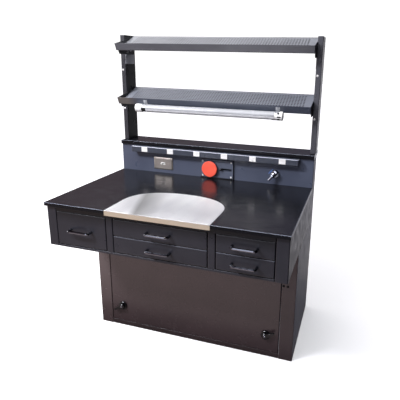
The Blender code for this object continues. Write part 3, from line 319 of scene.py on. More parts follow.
@dataclass(frozen=True)
class Brushed(Finish):
    """Stainless steel ground with a belt.

    The belt leaves fine straight scratches, drawn coarser than they are so that they show, and
    the reflections spread across them. A lip reflection warms what lies below a height, a painted
    reflection on the folded edge, and a streak is a painted dark reflection across the plate.
    """

    rough: Span = (0.38, 0.54)
    run: Run = Run.ACROSS
    scratch_mm: Span = (1.4, 220.0)
    scratch_height_mm: float = 0.004
    scratch_share: float = 0.5
    cloud_mm: Span = (90.0, 360.0)
    tint_span: Span = (0.5, 0.95)
    arris_mm: float = 1.2
    lip_reflection: str = ""
    edge_mm: Span = (756.0, 757.0)
    reflection_streak: str = ""
    streak_mm: tuple[float, float, float] = (-252.0, -220.0, -120.0)
    streak_lean: float = 0.32

    def drawn(self, tree: Tree, place: Socket, size_mm: Span, detail: float) -> Node:
        """Make a noise drawn out along the belt.

        Args:
            tree: Node tree of the finish.
            place: Object coordinates.
            size_mm: Its size across the belt's run and along it.
            detail: Octaves of the noise.

        Returns:
            The node with the noise.
        """
        scale = [1 / (size_mm[0] * MM)] * 3
        scale[self.run.value] = 1 / (size_mm[1] * MM)
        lay = add(tree, "Mapping", Vector=place, Scale=scale)
        return add(tree, "TexNoise", Vector=lay, Scale=1.0, Detail=detail)

    def material(self) -> Material:
        """Build the node material.

        Returns:
            The new material.
        """
        material, tree, place = blank(self.name)
        scratch = self.drawn(tree, place, self.scratch_mm, 3.0)
        cloud = self.drawn(tree, place, self.cloud_mm, 2.0)
        blend = add(tree, "Math", {"operation": "MULTIPLY_ADD"}, scratch, self.scratch_share, cloud)
        colour = self.tinted(tree, blend, self.tint_span)
        # Painted dark reflection in a band across the plate
        if self.reflection_streak:
            axes = add(tree, "SeparateXYZ", Vector=place).outputs
            across = add(tree, "Math", {"operation": "MULTIPLY_ADD"}, axes["Y"], self.streak_lean, axes["X"])
            shades = ("#ffffff", self.reflection_streak, "#ffffff")
            band = ramp(tree, across, [(spot * MM, shade) for spot, shade in zip(self.streak_mm, shades)])
            colour = add(tree, "MixRGB", {"blend_type": "MULTIPLY"}, Fac=1.0, Color1=colour, Color2=band)
        # Painted warm reflection on the folded lip
        if self.lip_reflection:
            height = add(tree, "SeparateXYZ", Vector=place).outputs["Z"]
            share = add(tree, "MapRange", Value=height, From_Min=self.edge_mm[0] * MM,
                        From_Max=self.edge_mm[1] * MM)
            colour = add(tree, "MixRGB", Fac=share, Color1=linear(self.lip_reflection), Color2=colour)
        arris = add(tree, "Bevel", {"samples": 4}, Radius=self.arris_mm * MM)
        bump = add(tree, "Bump", Height=scratch, Strength=0.35, Distance=self.scratch_height_mm * MM,
                   Normal=arris)
        close(tree, add(tree, "BsdfPrincipled", Base_Color=colour, Metallic=1.0,
                        Roughness=self.glossed(tree, scratch), Normal=bump))
        return material


@dataclass(frozen=True)
class Moulded(Finish):
    """Injection-moulded plastic.

    A close, even surface with the mould's fine grain and a slight change of shade.
    """

    rough: Span = (0.33, 0.43)
    grain_mm: float = 1.2
    grain_height_mm: float = 0.008
    cloud_mm: float = 30.0
    arris_mm: float = 0.5
    transmission: float = 0.0
    subsurface: float = 0.0
    scatter_mm: float = 4.0

    def material(self) -> Material:
        """Build the node material.

        Returns:
            The new material.
        """
        material, tree, place = blank(self.name)
        cloud = add(tree, "TexNoise", Vector=place, Scale=1 / (self.cloud_mm * MM), Detail=3.0)
        grain = add(tree, "TexNoise", Vector=place, Scale=1 / (self.grain_mm * MM), Detail=2.0)
        arris = add(tree, "Bevel", {"samples": 4}, Radius=self.arris_mm * MM)
        bump = add(tree, "Bump", Height=grain, Strength=0.4, Distance=self.grain_height_mm * MM, Normal=arris)
        close(tree, add(tree, "BsdfPrincipled", Base_Color=self.tinted(tree, cloud),
                        Roughness=self.glossed(tree, cloud), IOR=1.49, Normal=bump,
                        Transmission_Weight=self.transmission, Subsurface_Weight=self.subsurface,
                        Subsurface_Radius=[self.scatter_mm * MM] * 3))
        return material


@dataclass(frozen=True)
class Plated(Finish):
    """Bright plating on a turned or pressed part.

    A clean mirror with faint turning marks and a film that dulls it in places.
    """

    rough: Span = (0.08, 0.18)
    film_mm: float = 9.0
    mark_mm: float = 0.9
    mark_height_mm: float = 0.003

    def material(self) -> Material:
        """Build the node material.

        Returns:
            The new material.
        """
        material, tree, place = blank(self.name)
        film = add(tree, "TexNoise", Vector=place, Scale=1 / (self.film_mm * MM), Detail=4.0)
        mark = add(tree, "TexNoise", Vector=place, Scale=1 / (self.mark_mm * MM), Detail=1.0)
        bump = add(tree, "Bump", Height=mark, Strength=0.2, Distance=self.mark_height_mm * MM)
        close(tree, add(tree, "BsdfPrincipled", Base_Color=self.tinted(tree, film), Metallic=1.0,
                        Roughness=self.glossed(tree, film, TIGHT), Normal=bump))
        return material


@dataclass(frozen=True)
class CoatedGlass(Finish):
    """Lamp lens frosted on the inside.

    The frost shows through the clear skin: an even milky grey with a soft gloss.
    """

    coat_mm: float = 55.0
    scatter_mm: float = 6.0

    def material(self) -> Material:
        """Build the node material.

        Returns:
            The new material.
        """
        material, tree, place = blank(self.name)
        coat = add(tree, "TexNoise", Vector=place, Scale=1 / (self.coat_mm * MM), Detail=2.0)
        close(tree, add(tree, "BsdfPrincipled", Base_Color=self.tinted(tree, coat), Roughness=self.rough[0],
                        IOR=1.5, Subsurface_Weight=0.2, Subsurface_Radius=[self.scatter_mm * MM] * 3))
        return material


class Shop:
    """The finishes of the bench, each made once."""

    def __init__(self) -> None:
        """Mix every finish."""
        black = ("#2e2e34", "#28282e")
        satin, matt, dull = (0.23, 0.29), (0.33, 0.47), (0.37, 0.51)
        # Levels that darken the sheet towards the floor: painted shade
        floor_shade_levels = ((0.0, "#a2989a"), (400.0, "#ffffff"))
        # The case's levels darken it under the worktop's edge: painted shadow
        self.case = Enamel("black_enamel", *black, levels=((672.0, "#ffffff"), (734.0, "#4c4c4c"))).material()
        # A painted highlight along the top bends of the lower drawer fronts
        self.bend = Enamel("bent_black_enamel", *black, arris_highlight="#4a4c55").material()
        self.side = Enamel("plain_black_enamel", *black).material()
        # Its painted side shade darkens the panel's edges in the gaps round it
        self.cabinet = Enamel("warm_black_enamel", "#584c4d", "#524748", satin, arris_mm=0.3,
                              peel_height_mm=0.006, painted_side_shade="#0e0c0d", levels=floor_shade_levels).material()
        # The flank's painted side shade is light: painted light on the cabinet's right side
        self.flank = Enamel("flank_black_enamel", "#564b4c", "#504647", matt, arris_mm=0.3,
                            painted_side_shade="#d8d8dc", levels=floor_shade_levels).material()
        self.foot = Enamel("foot_black_enamel", "#2a1f20", "#261c1d", matt).material()
        # A lighter copy of the cabinet's enamel for the left side: painted light, darkened towards the floor
        # as painted shade
        self.lightened = Enamel("lightened_black_enamel", "#695e5d", "#625756", satin, peel_height_mm=0.006,
                           levels=((0.0, "#a2989a"), (450.0, "#ffffff"))).material()
        # The post's levels darken it towards the left, and its painted side shade darkens its inner faces:
        # painted shade
        self.post = Enamel("grey_enamel", "#525257", "#49494e", (0.23, 0.37), painted_side_shade="#161619",
                           levels=((-400.0, "#b4b4b4"), (400.0, "#ffffff")), levels_axis="X").material()
        self.riser = Enamel("blue_black_enamel", "#505666", "#494f5f").material()
        # The trays' painted side shades darken their inner end walls
        self.tray_upper = Enamel("grey_black_enamel", "#626266", "#58585c", matt,
                                 painted_side_shade="#2c2c31").material()
        # The lower tray is a darker, bluer copy right of its left end: painted shade
        self.tray_lower = Enamel("blue_grey_enamel", "#6f6a64", "#67625d", matt, painted_side_shade="#0e0f12",
                                 levels=((-450.0, "#ffffff"), (-385.0, "#a6bae3")),
                                 levels_axis="X").material()
        self.liner_upper = Enamel("light_grey_enamel", "#77787b", "#6e6f72", dull).material()
        self.liner_lower = Enamel("mid_grey_enamel", "#7a7d84", "#72757c", dull).material()
        self.hanger = Enamel("pale_enamel", "#ececee", "#e2e2e5", (0.23, 0.37)).material()
        # A painted highlight along the strip's top arris
        self.strip = Enamel("slate_enamel", "#3d414b", "#363a44", arris_mm=1.5,
                            arris_highlight="#d4d8e4").material()
        self.reflector = Enamel("white_enamel", "#a8a9ab", "#9fa0a2", (0.18, 0.32)).material()
        self.top = Laminate("black_laminate", "#121216", "#0e0e12").material()
        # The plate's warm lip and its dark streak are painted reflections
        self.plate = Brushed("brushed_stainless", "#f7f7f6", "#e9e9ea", run=Run.DEEP, lip_reflection="#fff4da",
                             reflection_streak="#c2c2c0").material()
        self.wall_plate = Brushed("satin_stainless", "#c8c0b6", "#b2aaa1", scratch_mm=(0.9, 60.0),
                                  arris_mm=6.0).material()
        self.black = Moulded("black_nylon", "#141416", "#0e0e10").material()
        self.gloss_black = Moulded("gloss_black_nylon", "#0e0e10", "#0a0a0c", (0.15, 0.25)).material()
        self.slate = Moulded("slate_nylon", "#595f6e", "#505664").material()
        self.white = Moulded("white_urea", "#fbfaf6", "#f4f2ec", (0.25, 0.35)).material()
        self.red = Moulded("red_vinyl", "#ff654c", "#ff5c45", (0.37, 0.47)).material()
        self.blue = Moulded("blue_nylon", "#4a6aa6", "#3f5c96", (0.23, 0.33)).material()
        self.clip = Moulded("milky_polycarbonate", "#b6b8bb", "#aaacb0", (0.20, 0.30), transmission=0.30,
                            subsurface=0.1).material()
        self.chrome = Plated("bright_chrome", "#e6e8ec", "#cfd2d8").material()
        self.zinc = Plated("zinc_plate", "#f2f3f4", "#e2e4e7", (0.30, 0.44)).material()
        self.nickel = Plated("black_nickel", "#7c7e86", "#6c6e76", (0.06, 0.10)).material()
        self.lens = CoatedGlass("frosted_lens", "#e6e6e6", "#dededf").material()


def paint(material: Material, *nodes: str) -> None:
    """Give CAD nodes their finish.

    Args:
        material: The finish.
        *nodes: Names of the nodes.
    """
    for node in nodes:
        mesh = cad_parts[node].data
        mesh.materials.clear()
        mesh.materials.append(material)
        for face in mesh.polygons:
            face.material_index = 0


def stand(name: str, shape: Shape) -> bpy.types.Object:
    """Stand a shape in the scene.

    Args:
        name: Name of the object and of its mesh.
        shape: Its form, which is freed.

    Returns:
        The new object.
    """
    mesh = bpy.data.meshes.new(name)
    shape.to_mesh(mesh)
    shape.free()
    made = bpy.data.objects.new(name, mesh)
    bpy.context.scene.collection.objects.link(made)
    return made


def place_piece(name: str, shape: Shape, material: Material, slot: str, body: str = CARCASS,
                smooth: float = 35.0) -> bpy.types.Object:
    """Turn a shape in the bench's frame to a piece that rides on a body.

    Args:
        name: Name of the piece.
        shape: Its form, which is freed.
        material: Its finish.
        slot: The record's material slot; not used.
        body: CAD body that carries it.
        smooth: Angle in degrees up to which edges are shaded smooth.

    Returns:
        The new object.
    """
    bmesh.ops.recalc_face_normals(shape, faces=shape.faces)
    piece = stand(name, shape)
    piece.data.shade_smooth()
    piece.data.set_sharp_from_angle(angle=math.radians(smooth))
    piece.data.materials.append(material)
    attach(piece, body)
    LOG.info("%s rides on %s: %d faces", name, body, len(piece.data.polygons))
    return piece


def front_of(node: str) -> Vector:
    """Middle of the front of a CAD node's box."""
    low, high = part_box(node)
    return Vector(((low.x + high.x) / 2, low.y, (low.z + high.z) / 2))


def copied(node: str) -> Shape:
    """Copy a CAD node's mesh, with its split corners joined.

    Args:
        node: Name of the node.

    Returns:
        The copy.
    """
    shape = bmesh.new()
    shape.from_mesh(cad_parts[node].data)
    bmesh.ops.remove_doubles(shape, verts=shape.verts, dist=WELD)
    return shape


def pose(origin: Point, axis: Point, turn: float = 0.0) -> Matrix:
    """Matrix that takes a piece's own Z to an axis.

    Args:
        origin: Where the piece's own origin goes.
        axis: Direction of its own Z.
        turn: Degrees about that axis.

    Returns:
        The 4×4 matrix.
    """
    turned = Vector(axis).to_track_quat("Z", "Y").to_matrix().to_4x4()
    return Matrix.Translation(origin) @ turned @ Matrix.Rotation(math.radians(turn), 4, "Z")


def turn_profile(shape: Shape, profile: Sequence[Span], steps: int = 24,
                 matrix: Matrix = Matrix.Identity(4)) -> None:
    """Add a closed turned form.

    Args:
        shape: Mesh that takes it.
        profile: Radius and height from the axis at one end to the axis at the other.
        steps: Facets round.
        matrix: Where its own origin and Z go.
    """
    rings = []
    for radius, height in profile:
        turns = [2 * math.pi * i / steps for i in range(steps if radius > WELD else 1)]
        rings.append([shape.verts.new(matrix @ Vector((radius * math.cos(a), radius * math.sin(a), height)))
                      for a in turns])
    for one, two in zip(rings, rings[1:]):
        for i in range(steps):
            j = (i + 1) % steps
            corners = [one[i % len(one)], one[j % len(one)], two[j % len(two)], two[i % len(two)]]
            shape.faces.new(list(dict.fromkeys(corners)))


def block(shape: Shape, size: Point, middle: Point, arris: float = 0.0,
          axes: Matrix = Matrix.Identity(4)) -> None:
    """Add a box with rounded arrises.

    Args:
        shape: Mesh that takes it.
        size: Lengths along its own X, Y and Z.
        middle: Where its middle goes.
        arris: Rounding of its edges.
        axes: Where its own axes look.
    """
    matrix = Matrix.Translation(middle) @ axes @ Matrix.Diagonal((*size, 1.0))
    made = bmesh.ops.create_cube(shape, size=1.0, matrix=matrix)["verts"]
    if arris:
        edges = {edge for vert in made for edge in vert.link_edges}
        bmesh.ops.bevel(shape, geom=list(edges), offset=arris, segments=2, profile=0.5, affect="EDGES")


def cut_away(shape: Shape, tool: Shape) -> Shape:
    """Take one closed shape from another.

    Args:
        shape: Shape that is cut, which is freed.
        tool: Shape that is taken away, which is freed.

    Returns:
        The shape that is left.
    """
    made = []
    for name, source in (("blank", shape), ("cutter", tool)):
        bmesh.ops.recalc_face_normals(source, faces=source.faces)
        made.append(stand(name, source))
    modifier = made[0].modifiers.new("cut", "BOOLEAN")
    modifier.operation, modifier.solver, modifier.object = "DIFFERENCE", "EXACT", made[1]
    left = bmesh.new()
    left.from_object(made[0], bpy.context.evaluated_depsgraph_get())
    for item in made:
        bpy.data.meshes.remove(item.data)
    return left


@dataclass(frozen=True)
class Screw:
    """A screw head with its recess, its proportions as shares of its radius and height."""

    radius: float
    height: float
    drive: Drive = Drive.CROSS
    steps: int = 20
    washer: float = 0.12
    flats: float = 0.82
    crown: Span = (0.70, 0.88)
    skirt: float = 0.1
    slot: float = 0.22
    cross_reach: float = 1.1
    slot_reach: float = 2.4

    def head(self) -> Shape:
        """Make the head about its own Z, seat at the origin.

        Returns:
            The head's form.
        """
        shape = bmesh.new()
        r, h = self.radius, self.height
        if self.drive is Drive.HEX:
            washer, flats = self.washer * h, self.flats * r
            turn_profile(shape, [(0, 0), (r, 0), (r, washer), (0, washer)], self.steps)
            turn_profile(shape, [(0, washer), (flats, washer), (flats, self.crown[1] * h),
                                 (self.crown[0] * r, h), (0, h)], 6)
            bmesh.ops.remove_doubles(shape, verts=shape.verts, dist=WELD)
            return shape
        bow = [(r * math.cos(a), h * math.sin(a)) for a in (i * math.pi / 12 for i in range(6))]
        turn_profile(shape, [(0, -self.skirt * h), (r, -self.skirt * h), *bow, (0, h)], self.steps)
        crossed = self.drive is Drive.CROSS
        reach = (self.cross_reach if crossed else self.slot_reach) * r
        for turn in (0, 90) if crossed else (0,):
            tool = bmesh.new()
            block(tool, (reach, self.slot * r, h), (0, 0, h), axes=pose((0, 0, 0), (0, 0, 1), turn))
            shape = cut_away(shape, tool)
        return shape

    def row(self, name: str, places: Seats, axis: Point, material: Material, slot: str,
            body: str = CARCASS) -> None:
        """Set heads of this kind as one piece.

        Args:
            name: Name of the piece.
            places: Seat of each head, and its turn in degrees.
            axis: Direction in which the heads look.
            material: Their finish.
            slot: The record's material slot.
            body: CAD body that carries them.
        """
        head, mesh, shape = self.head(), bpy.data.meshes.new("screw_head"), bmesh.new()
        head.to_mesh(mesh)
        head.free()
        for seat, turn in places:
            before = len(shape.verts)
            shape.from_mesh(mesh)
            shape.verts.ensure_lookup_table()
            bmesh.ops.transform(shape, matrix=pose(seat, axis, turn), verts=shape.verts[before:])
        bpy.data.meshes.remove(mesh)
        place_piece(name, shape, material, slot, body)


@dataclass
class Carcass:
    """Sheet-steel case, cabinet and back, with the back's screws and the right flange's bolts."""

    case_nodes: tuple[str, ...] = ("case_bottom", "case_top", "divider_left", "divider_right", "back_panel")
    screw: Screw = Screw(0.0042, 0.0009)
    screw_inset: float = 0.014
    screw_sink: float = 0.0010
    screw_ease: float = 0.0004
    screws_across: int = 5
    screws_up: int = 5
    turn_across: float = 17.0
    turn_up: float = 23.0
    sheet_smooth: float = 5.0
    bolt: Screw = Screw(0.0062, 0.0040)
    bolt_insets: Span = (0.0070, 0.0265)
    bolt_height: float = 0.3875
    bolt_turn: float = 30.0

    def dress(self, shop: Shop) -> None:
        """Paint the sheet and set the screws and bolts.

        Args:
            shop: The finishes.
        """
        paint(shop.case, *self.case_nodes)
        paint(shop.side, "case_left_side", "case_right_side")
        paint(shop.cabinet, "access_panel")
        paint(shop.foot, "cabinet_base")
        paint(shop.flank, "cabinet_right_side")
        # The left side takes the lighter copy of the cabinet's enamel: painted light
        paint(shop.lightened, "cabinet_left_side")
        self.sink_screws(shop)
        low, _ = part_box("cabinet_right_side")
        places = [((low.x + inset, low.y, self.bolt_height), self.bolt_turn) for inset in self.bolt_insets]
        self.bolt.row("flange_bolts", places, FORWARD, shop.gloss_black, "black_plastic")

    def screw_places(self) -> list[tuple[Point, float]]:
        """Find the screws' places round the back panel's face.

        Returns:
            Each screw's place and its turn in degrees.
        """
        low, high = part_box("back_panel")
        left, right = low.x + self.screw_inset, high.x - self.screw_inset
        foot, top = low.z + self.screw_inset, high.z - self.screw_inset
        places = []
        for i in range(self.screws_across):
            x = left + (right - left) * i / (self.screws_across - 1)
            places += [((x, high.y, z), self.turn_across * i) for z in (foot, top)]
        for i in range(1, self.screws_up - 1):
            z = foot + (top - foot) * i / (self.screws_up - 1)
            places += [((x, high.y, z), self.turn_up * i) for x in (left, right)]
        return places

    def sink_screws(self, shop: Shop) -> None:
        """Let the back panel's screws into a copy of it, flush with its face.

        Args:
            shop: The finishes.
        """
        tool, places = bmesh.new(), self.screw_places()
        deep, wide = self.screw_sink, self.screw.radius + self.screw_ease
        for place, _ in places:
            turn_profile(tool, [(0, -deep), (wide, -deep), (wide, deep), (0, deep)], self.screw.steps,
                         pose(place, BACKWARD))
        panel = cut_away(copied("back_panel"), tool)
        sheet = place_piece("back_panel_sheet", panel, shop.case, "black_paint", smooth=self.sheet_smooth)
        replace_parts(sheet, "back_panel")
        seats = [((x, y - deep, z), turn) for (x, y, z), turn in places]
        self.screw.row("back_screws", seats, BACKWARD, shop.nickel, "chrome")


@dataclass
class Drawers:
    """Five drawers with their fronts, pans and handles."""

    names: tuple[str, ...] = ("left", "middle_upper", "middle_lower", "right_upper", "right_lower")

    def dress(self, shop: Shop) -> None:
        """Finish fronts, pans and handles.

        Args:
            shop: The finishes.
        """
        for name in self.names:
            # Only the lower fronts carry the painted highlight on their top bend; the upper ones lie in the
            # worktop's shade
            paint(shop.bend if name.endswith("lower") else shop.case, f"drawer_{name}_front")
            paint(shop.case, f"drawer_{name}_pan")
            paint(shop.nickel, f"drawer_{name}_handle")


@dataclass
class Latches:
    """Turn latches of the access panel, each with a steel screw in its hub."""

    screw: Screw = Screw(0.0062, 0.0022, Drive.SLOT)
    screw_turn: float = 28.0

    def dress(self, shop: Shop) -> None:
        """Finish roses and handles and set the hub screws.

        Args:
            shop: The finishes.
        """
        for side, _ in ENDS:
            latch = f"latch_{side}"
            paint(shop.gloss_black, f"{latch}_rose", f"{latch}_handle")
            seat = front_of(f"{latch}_rose")
            seat.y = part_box(f"{latch}_handle")[0].y
            self.screw.row(f"{latch}_screw", [(seat, self.screw_turn)], FORWARD, shop.nickel, "chrome", latch)


@dataclass
class Worktop:
    """Laminate top and ledge, and the steel plate let into the front."""

    def dress(self, shop: Shop) -> None:
        """Finish the boards and the plate."""
        paint(shop.top, "worktop", "riser_ledge")
        paint(shop.plate, "work_plate")


@dataclass
class Services:
    """Riser with its power strip, switch, suction port and air valve."""

    corner_screw: Screw = Screw(0.0050, 0.0028)
    corner_inset: float = 0.0105
    corner_turn: float = 31.0
    plate_screw: Screw = Screw(0.0034, 0.0014, Drive.SLOT)
    plate_screw_spacing: float = 0.0603
    plate_screw_turn: float = 20.0
    port_thickness: float = 0.0103
    sockets: int = 6
    bezel: Span = (0.0235, 0.0150)
    bezel_mouth: Span = (0.0164, 0.0116)
    bezel_height: float = 0.0016
    # Black seal, sill and slot trim: painted shadow round the port's plate and painted shade in its slot
    seal: float = 0.0022
    seal_lap: float = 0.0030
    sill: Span = (0.0060, 0.0012)
    slot: Span = (0.0500, 0.0100)
    slot_start: float = 0.0257
    slot_trim: float = 0.0018
    trim_height: float = 0.0002
    valve_middle: tuple[float, float, float] = (0.343, 0.2305, 0.814)
    valve_drop: float = 48.0
    valve_swing: float = 17.0
    valve_turn: float = 12.0
    nut_radius: float = 0.0116
    nut_chamfer: float = 0.0010
    nuts: tuple[Span, ...] = ((-0.0178, -0.0096), (0.0082, 0.0140))
    seal_radius: float = 0.0124
    seals: tuple[Span, ...] = ((-0.0098, -0.0062), (0.0052, 0.0084))

    def dress(self, shop: Shop) -> None:
        """Finish the services and fit their small pieces.

        Args:
            shop: The finishes.
        """
        paint(shop.riser, "riser_panel")
        paint(shop.strip, "power_strip")
        paint(shop.white, "switch_body", "switch_toggle", *(f"socket_{i + 1}" for i in range(self.sockets)))
        paint(shop.wall_plate, "switch_plate")
        paint(shop.slate, "port_plate")
        paint(shop.black, "port_spigot", "gate_slide")
        paint(shop.red, "port_cap")
        paint(shop.chrome, "valve_body")
        paint(shop.blue, "valve_lever")
        self.set_screws(shop)
        self.fit_switch(shop)
        self.fit_port(shop)
        self.fit_valve(shop)

    def set_screws(self, shop: Shop) -> None:
        """Set the screws of the switch plate and of the port plate.

        Args:
            shop: The finishes.
        """
        middle = front_of("switch_plate")
        seats = [(middle + Vector((side * self.plate_screw_spacing / 2, 0, 0)), self.plate_screw_turn * side)
                 for side in (-1, 1)]
        self.plate_screw.row("switch_screws", seats, FORWARD, shop.wall_plate, "stainless")
        low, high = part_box("port_plate")
        face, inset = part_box("riser_panel")[0].y - self.port_thickness, self.corner_inset
        corners = [(x, z) for x in (low.x + inset, high.x - inset) for z in (low.z + inset, high.z - inset)]
        seats = [((x, face, z), self.corner_turn * i) for i, (x, z) in enumerate(corners)]
        # White heads where bright screw heads catch the light: painted highlight
        self.corner_screw.row("port_screws", seats, FORWARD, shop.white, "white_plastic")

    def fit_switch(self, shop: Shop) -> None:
        """Set the bezel in the plate's slot, round the toggle.

        Args:
            shop: The finishes.
        """
        middle = front_of("switch_plate")
        shape, tool = bmesh.new(), bmesh.new()
        block(shape, (self.bezel[0], 2 * self.bezel_height, self.bezel[1]), middle, self.bezel_height / 2)
        block(tool, (self.bezel_mouth[0], 4 * self.bezel_height, self.bezel_mouth[1]), middle)
        place_piece("switch_bezel", cut_away(shape, tool), shop.white, "white_plastic")

    def fit_port(self, shop: Shop) -> None:
        """Lay a black seal round the port's plate with its sill on the worktop, and a black trim round the
        slot: painted shadow round the plate and painted shade in the slot.

        Args:
            shop: The finishes.
        """
        low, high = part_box("port_plate")
        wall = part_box("riser_panel")[0].y
        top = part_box("worktop")[1].z
        x, z = (low.x + high.x) / 2, (low.z + high.z) / 2
        wide, tall = high.x - low.x, high.z - low.z
        rim, lap = wide + 2 * self.seal, 2 * self.seal_lap
        depth = self.port_thickness / 2
        shape, tool = bmesh.new(), bmesh.new()
        # Black seal round the plate and sill on the worktop: painted shadow
        block(shape, (rim, depth, high.z - top + self.seal),
              (x, wall - depth / 2, (high.z + self.seal + top) / 2), self.seal / 4)
        block(tool, (wide - lap, 4 * depth, tall - lap), (x, wall, z))
        shape = cut_away(shape, tool)
        height, reach = self.sill
        depth = self.port_thickness + reach
        block(shape, (rim, depth, height), (x, wall - depth / 2, top + height / 2), self.seal / 4)
        place_piece("port_shade_seal", shape, shop.black, "black_plastic")

        # Black trim round the slot: painted shade
        run, width = self.slot
        middle = (x + self.slot_start + run / 2, wall - self.port_thickness, z)
        trim = 2 * self.slot_trim
        shape, tool = bmesh.new(), bmesh.new()
        block(shape, (run + width + trim, 2 * self.trim_height, width + trim), middle)
        block(tool, (run + width, 8 * self.trim_height, width), middle)
        place_piece("port_slot_trim", cut_away(shape, tool), shop.black, "black_plastic")

    def fit_valve(self, shop: Shop) -> None:
        """Set the hexagon nuts and the black seals on the valve's barrel.

        Args:
            shop: The finishes.
        """
        drop, swing = math.radians(self.valve_drop), math.radians(self.valve_swing)
        flow = (-math.cos(drop) * math.cos(swing), -math.sin(swing), -math.sin(drop) * math.cos(swing))
        along = pose(self.valve_middle, flow, self.valve_turn)
        cut = self.nut_chamfer
        for name, r, spans, sides, finish, slot in (
                ("valve_nuts", self.nut_radius, self.nuts, 6, shop.nickel, "chrome"),
                ("valve_seals", self.seal_radius, self.seals, 24, shop.black, "black_plastic")):
            shape = bmesh.new()
            for start, end in spans:
                turn_profile(shape, [(0, start), (r - cut, start), (r, start + cut), (r, end - cut),
                                     (r - cut, end), (0, end)], sides, along)
            place_piece(name, shape, finish, slot)


@dataclass
class TrayShelf:
    """A sloping tray with a perforated liner and bolts through its end plates."""

    node: str
    tilt: float = 24.0
    base: float = 0.196
    lip: float = 0.038
    sheet: float = 0.0015
    bracket_drop: float = 0.018
    hole: float = 0.0092
    pitch: float = 0.0145
    margin: float = 0.010
    end_margin: float = 0.036
    rear_strip: float = 0.0065
    liner: float = 0.0010
    # Thickness of the black sheet under the liner, a painted shade seen through its holes
    shade_sheet: float = 0.0003
    ease: float = 0.0004
    bolt_places: tuple[Span, ...] = ((0.22, 0.0), (0.52, 0.010))
    bolt_turn: float = 12.0

    def __post_init__(self) -> None:
        """Find the tray's fold, its own axes and its perforated field."""
        low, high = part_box(self.node)
        slope = math.radians(self.tilt)
        self.along = Vector((1, 0, 0))
        self.up = Vector((0, math.cos(slope), math.sin(slope)))
        self.normal = self.along.cross(self.up)
        lip_reach = self.lip * math.sin(slope) + self.sheet / 2 * math.cos(slope)
        self.fold = Vector((0, low.y + lip_reach, low.z + self.bracket_drop))
        self.width = high.x - low.x
        lined = self.base - self.rear_strip
        self.columns = int((self.width - 2 * self.end_margin) / self.pitch)
        self.rows = int((lined - 2 * self.margin) / self.pitch)
        self.left = -self.columns * self.pitch / 2
        self.foot = (lined - self.rows * self.pitch) / 2

    def at(self, x: float, run: float, lift: float) -> Vector:
        """Point on the tray: along the bench, up the slope, and off the sheet's middle."""
        return self.fold + self.along * x + self.up * run + self.normal * lift

    def perforated(self) -> Shape:
        """Make the liner's perforated field, with its holes in straight rows.

        Returns:
            A closed mesh in the bench's frame.
        """
        shape = bmesh.new()
        lifts = {1: self.sheet / 2 + self.shade_sheet + self.liner, -1: self.sheet / 2 + self.shade_sheet}
        known: dict[tuple[int, int, int], bmesh.types.BMVert] = {}
        around = [(2, 1), (2, 2), (1, 2), (0, 2), (0, 1), (0, 0), (1, 0), (2, 0)]
        turns = [math.pi * k / 4 for k in range(len(around))]
        ring = [(self.hole / 2 * math.cos(a), self.hole / 2 * math.sin(a)) for a in turns]

        def knot(i: int, j: int, face: int) -> bmesh.types.BMVert:
            """Grid point at half pitches, kept once.

            Args:
                i: Half pitches from the field's left.
                j: Half pitches from its foot.
                face: 1 on the liner's upper face, -1 on its lower face.

            Returns:
                The point's vertex.
            """
            if (i, j, face) not in known:
                spot = self.at(self.left + i * self.pitch / 2, self.foot + j * self.pitch / 2, lifts[face])
                known[i, j, face] = shape.verts.new(spot)
            return known[i, j, face]

        for i in range(0, 2 * self.columns, 2):
            for j in range(0, 2 * self.rows, 2):
                x, run = self.left + (i + 1) * self.pitch / 2, self.foot + (j + 1) * self.pitch / 2
                rims = {face: [shape.verts.new(self.at(x + over, run + up, lift)) for over, up in ring]
                        for face, lift in lifts.items()}
                for k in range(len(around)):
                    n = (k + 1) % len(around)
                    for face, rim in rims.items():
                        near, far = (knot(i + around[m][0], j + around[m][1], face) for m in (k, n))
                        corners = [rim[k], near, far, rim[n]]
                        shape.faces.new(corners if face > 0 else corners[::-1])
                    shape.faces.new([rims[1][k], rims[1][n], rims[-1][n], rims[-1][k]])
        places = {vert: key for key, vert in known.items()}
        for edge in [edge for edge in shape.edges if edge.is_boundary]:
            one, two = (places[vert] for vert in edge.verts)
            if one[2] > 0:
                shape.faces.new([knot(*one), knot(*two), knot(*two[:2], -1), knot(*one[:2], -1)])
        return shape

    def line(self, lining: Material, hole_shade: Material) -> None:
        """Lay a thin black sheet on the tray, a painted shade seen through the liner's holes, and the liner
        on it.

        Args:
            lining: Enamel of the liner.
            hole_shade: Black finish of the sheet under the liner, a painted shade that shows through its
                holes.
        """
        side = self.width / 2 - self.sheet - self.ease
        front, rear = self.sheet + self.ease, self.base - self.sheet
        end = rear - self.rear_strip
        right, top = -self.left, self.foot + self.rows * self.pitch
        axes = Matrix((self.along, self.up, self.normal)).transposed().to_4x4()
        shape = self.perforated()
        for x0, x1, run0, run1 in ((-side, self.left, front, end), (right, side, front, end),
                                   (self.left, right, front, self.foot), (self.left, right, top, end)):
            middle = self.at((x0 + x1) / 2, (run0 + run1) / 2, (self.sheet + self.liner) / 2 + self.shade_sheet)
            block(shape, (x1 - x0, run1 - run0, self.liner), middle, axes=axes)
        place_piece(f"{self.node}_liner", shape, lining, "black_paint")
        # Black sheet under the liner: painted shade seen through its holes
        shape = bmesh.new()
        middle = self.at(0, (front + rear) / 2, (self.sheet + self.shade_sheet) / 2)
        block(shape, (2 * side, rear - front, self.shade_sheet), middle, self.shade_sheet / 3, axes)
        place_piece(f"{self.node}_mat", shape, hole_shade, "black_plastic")

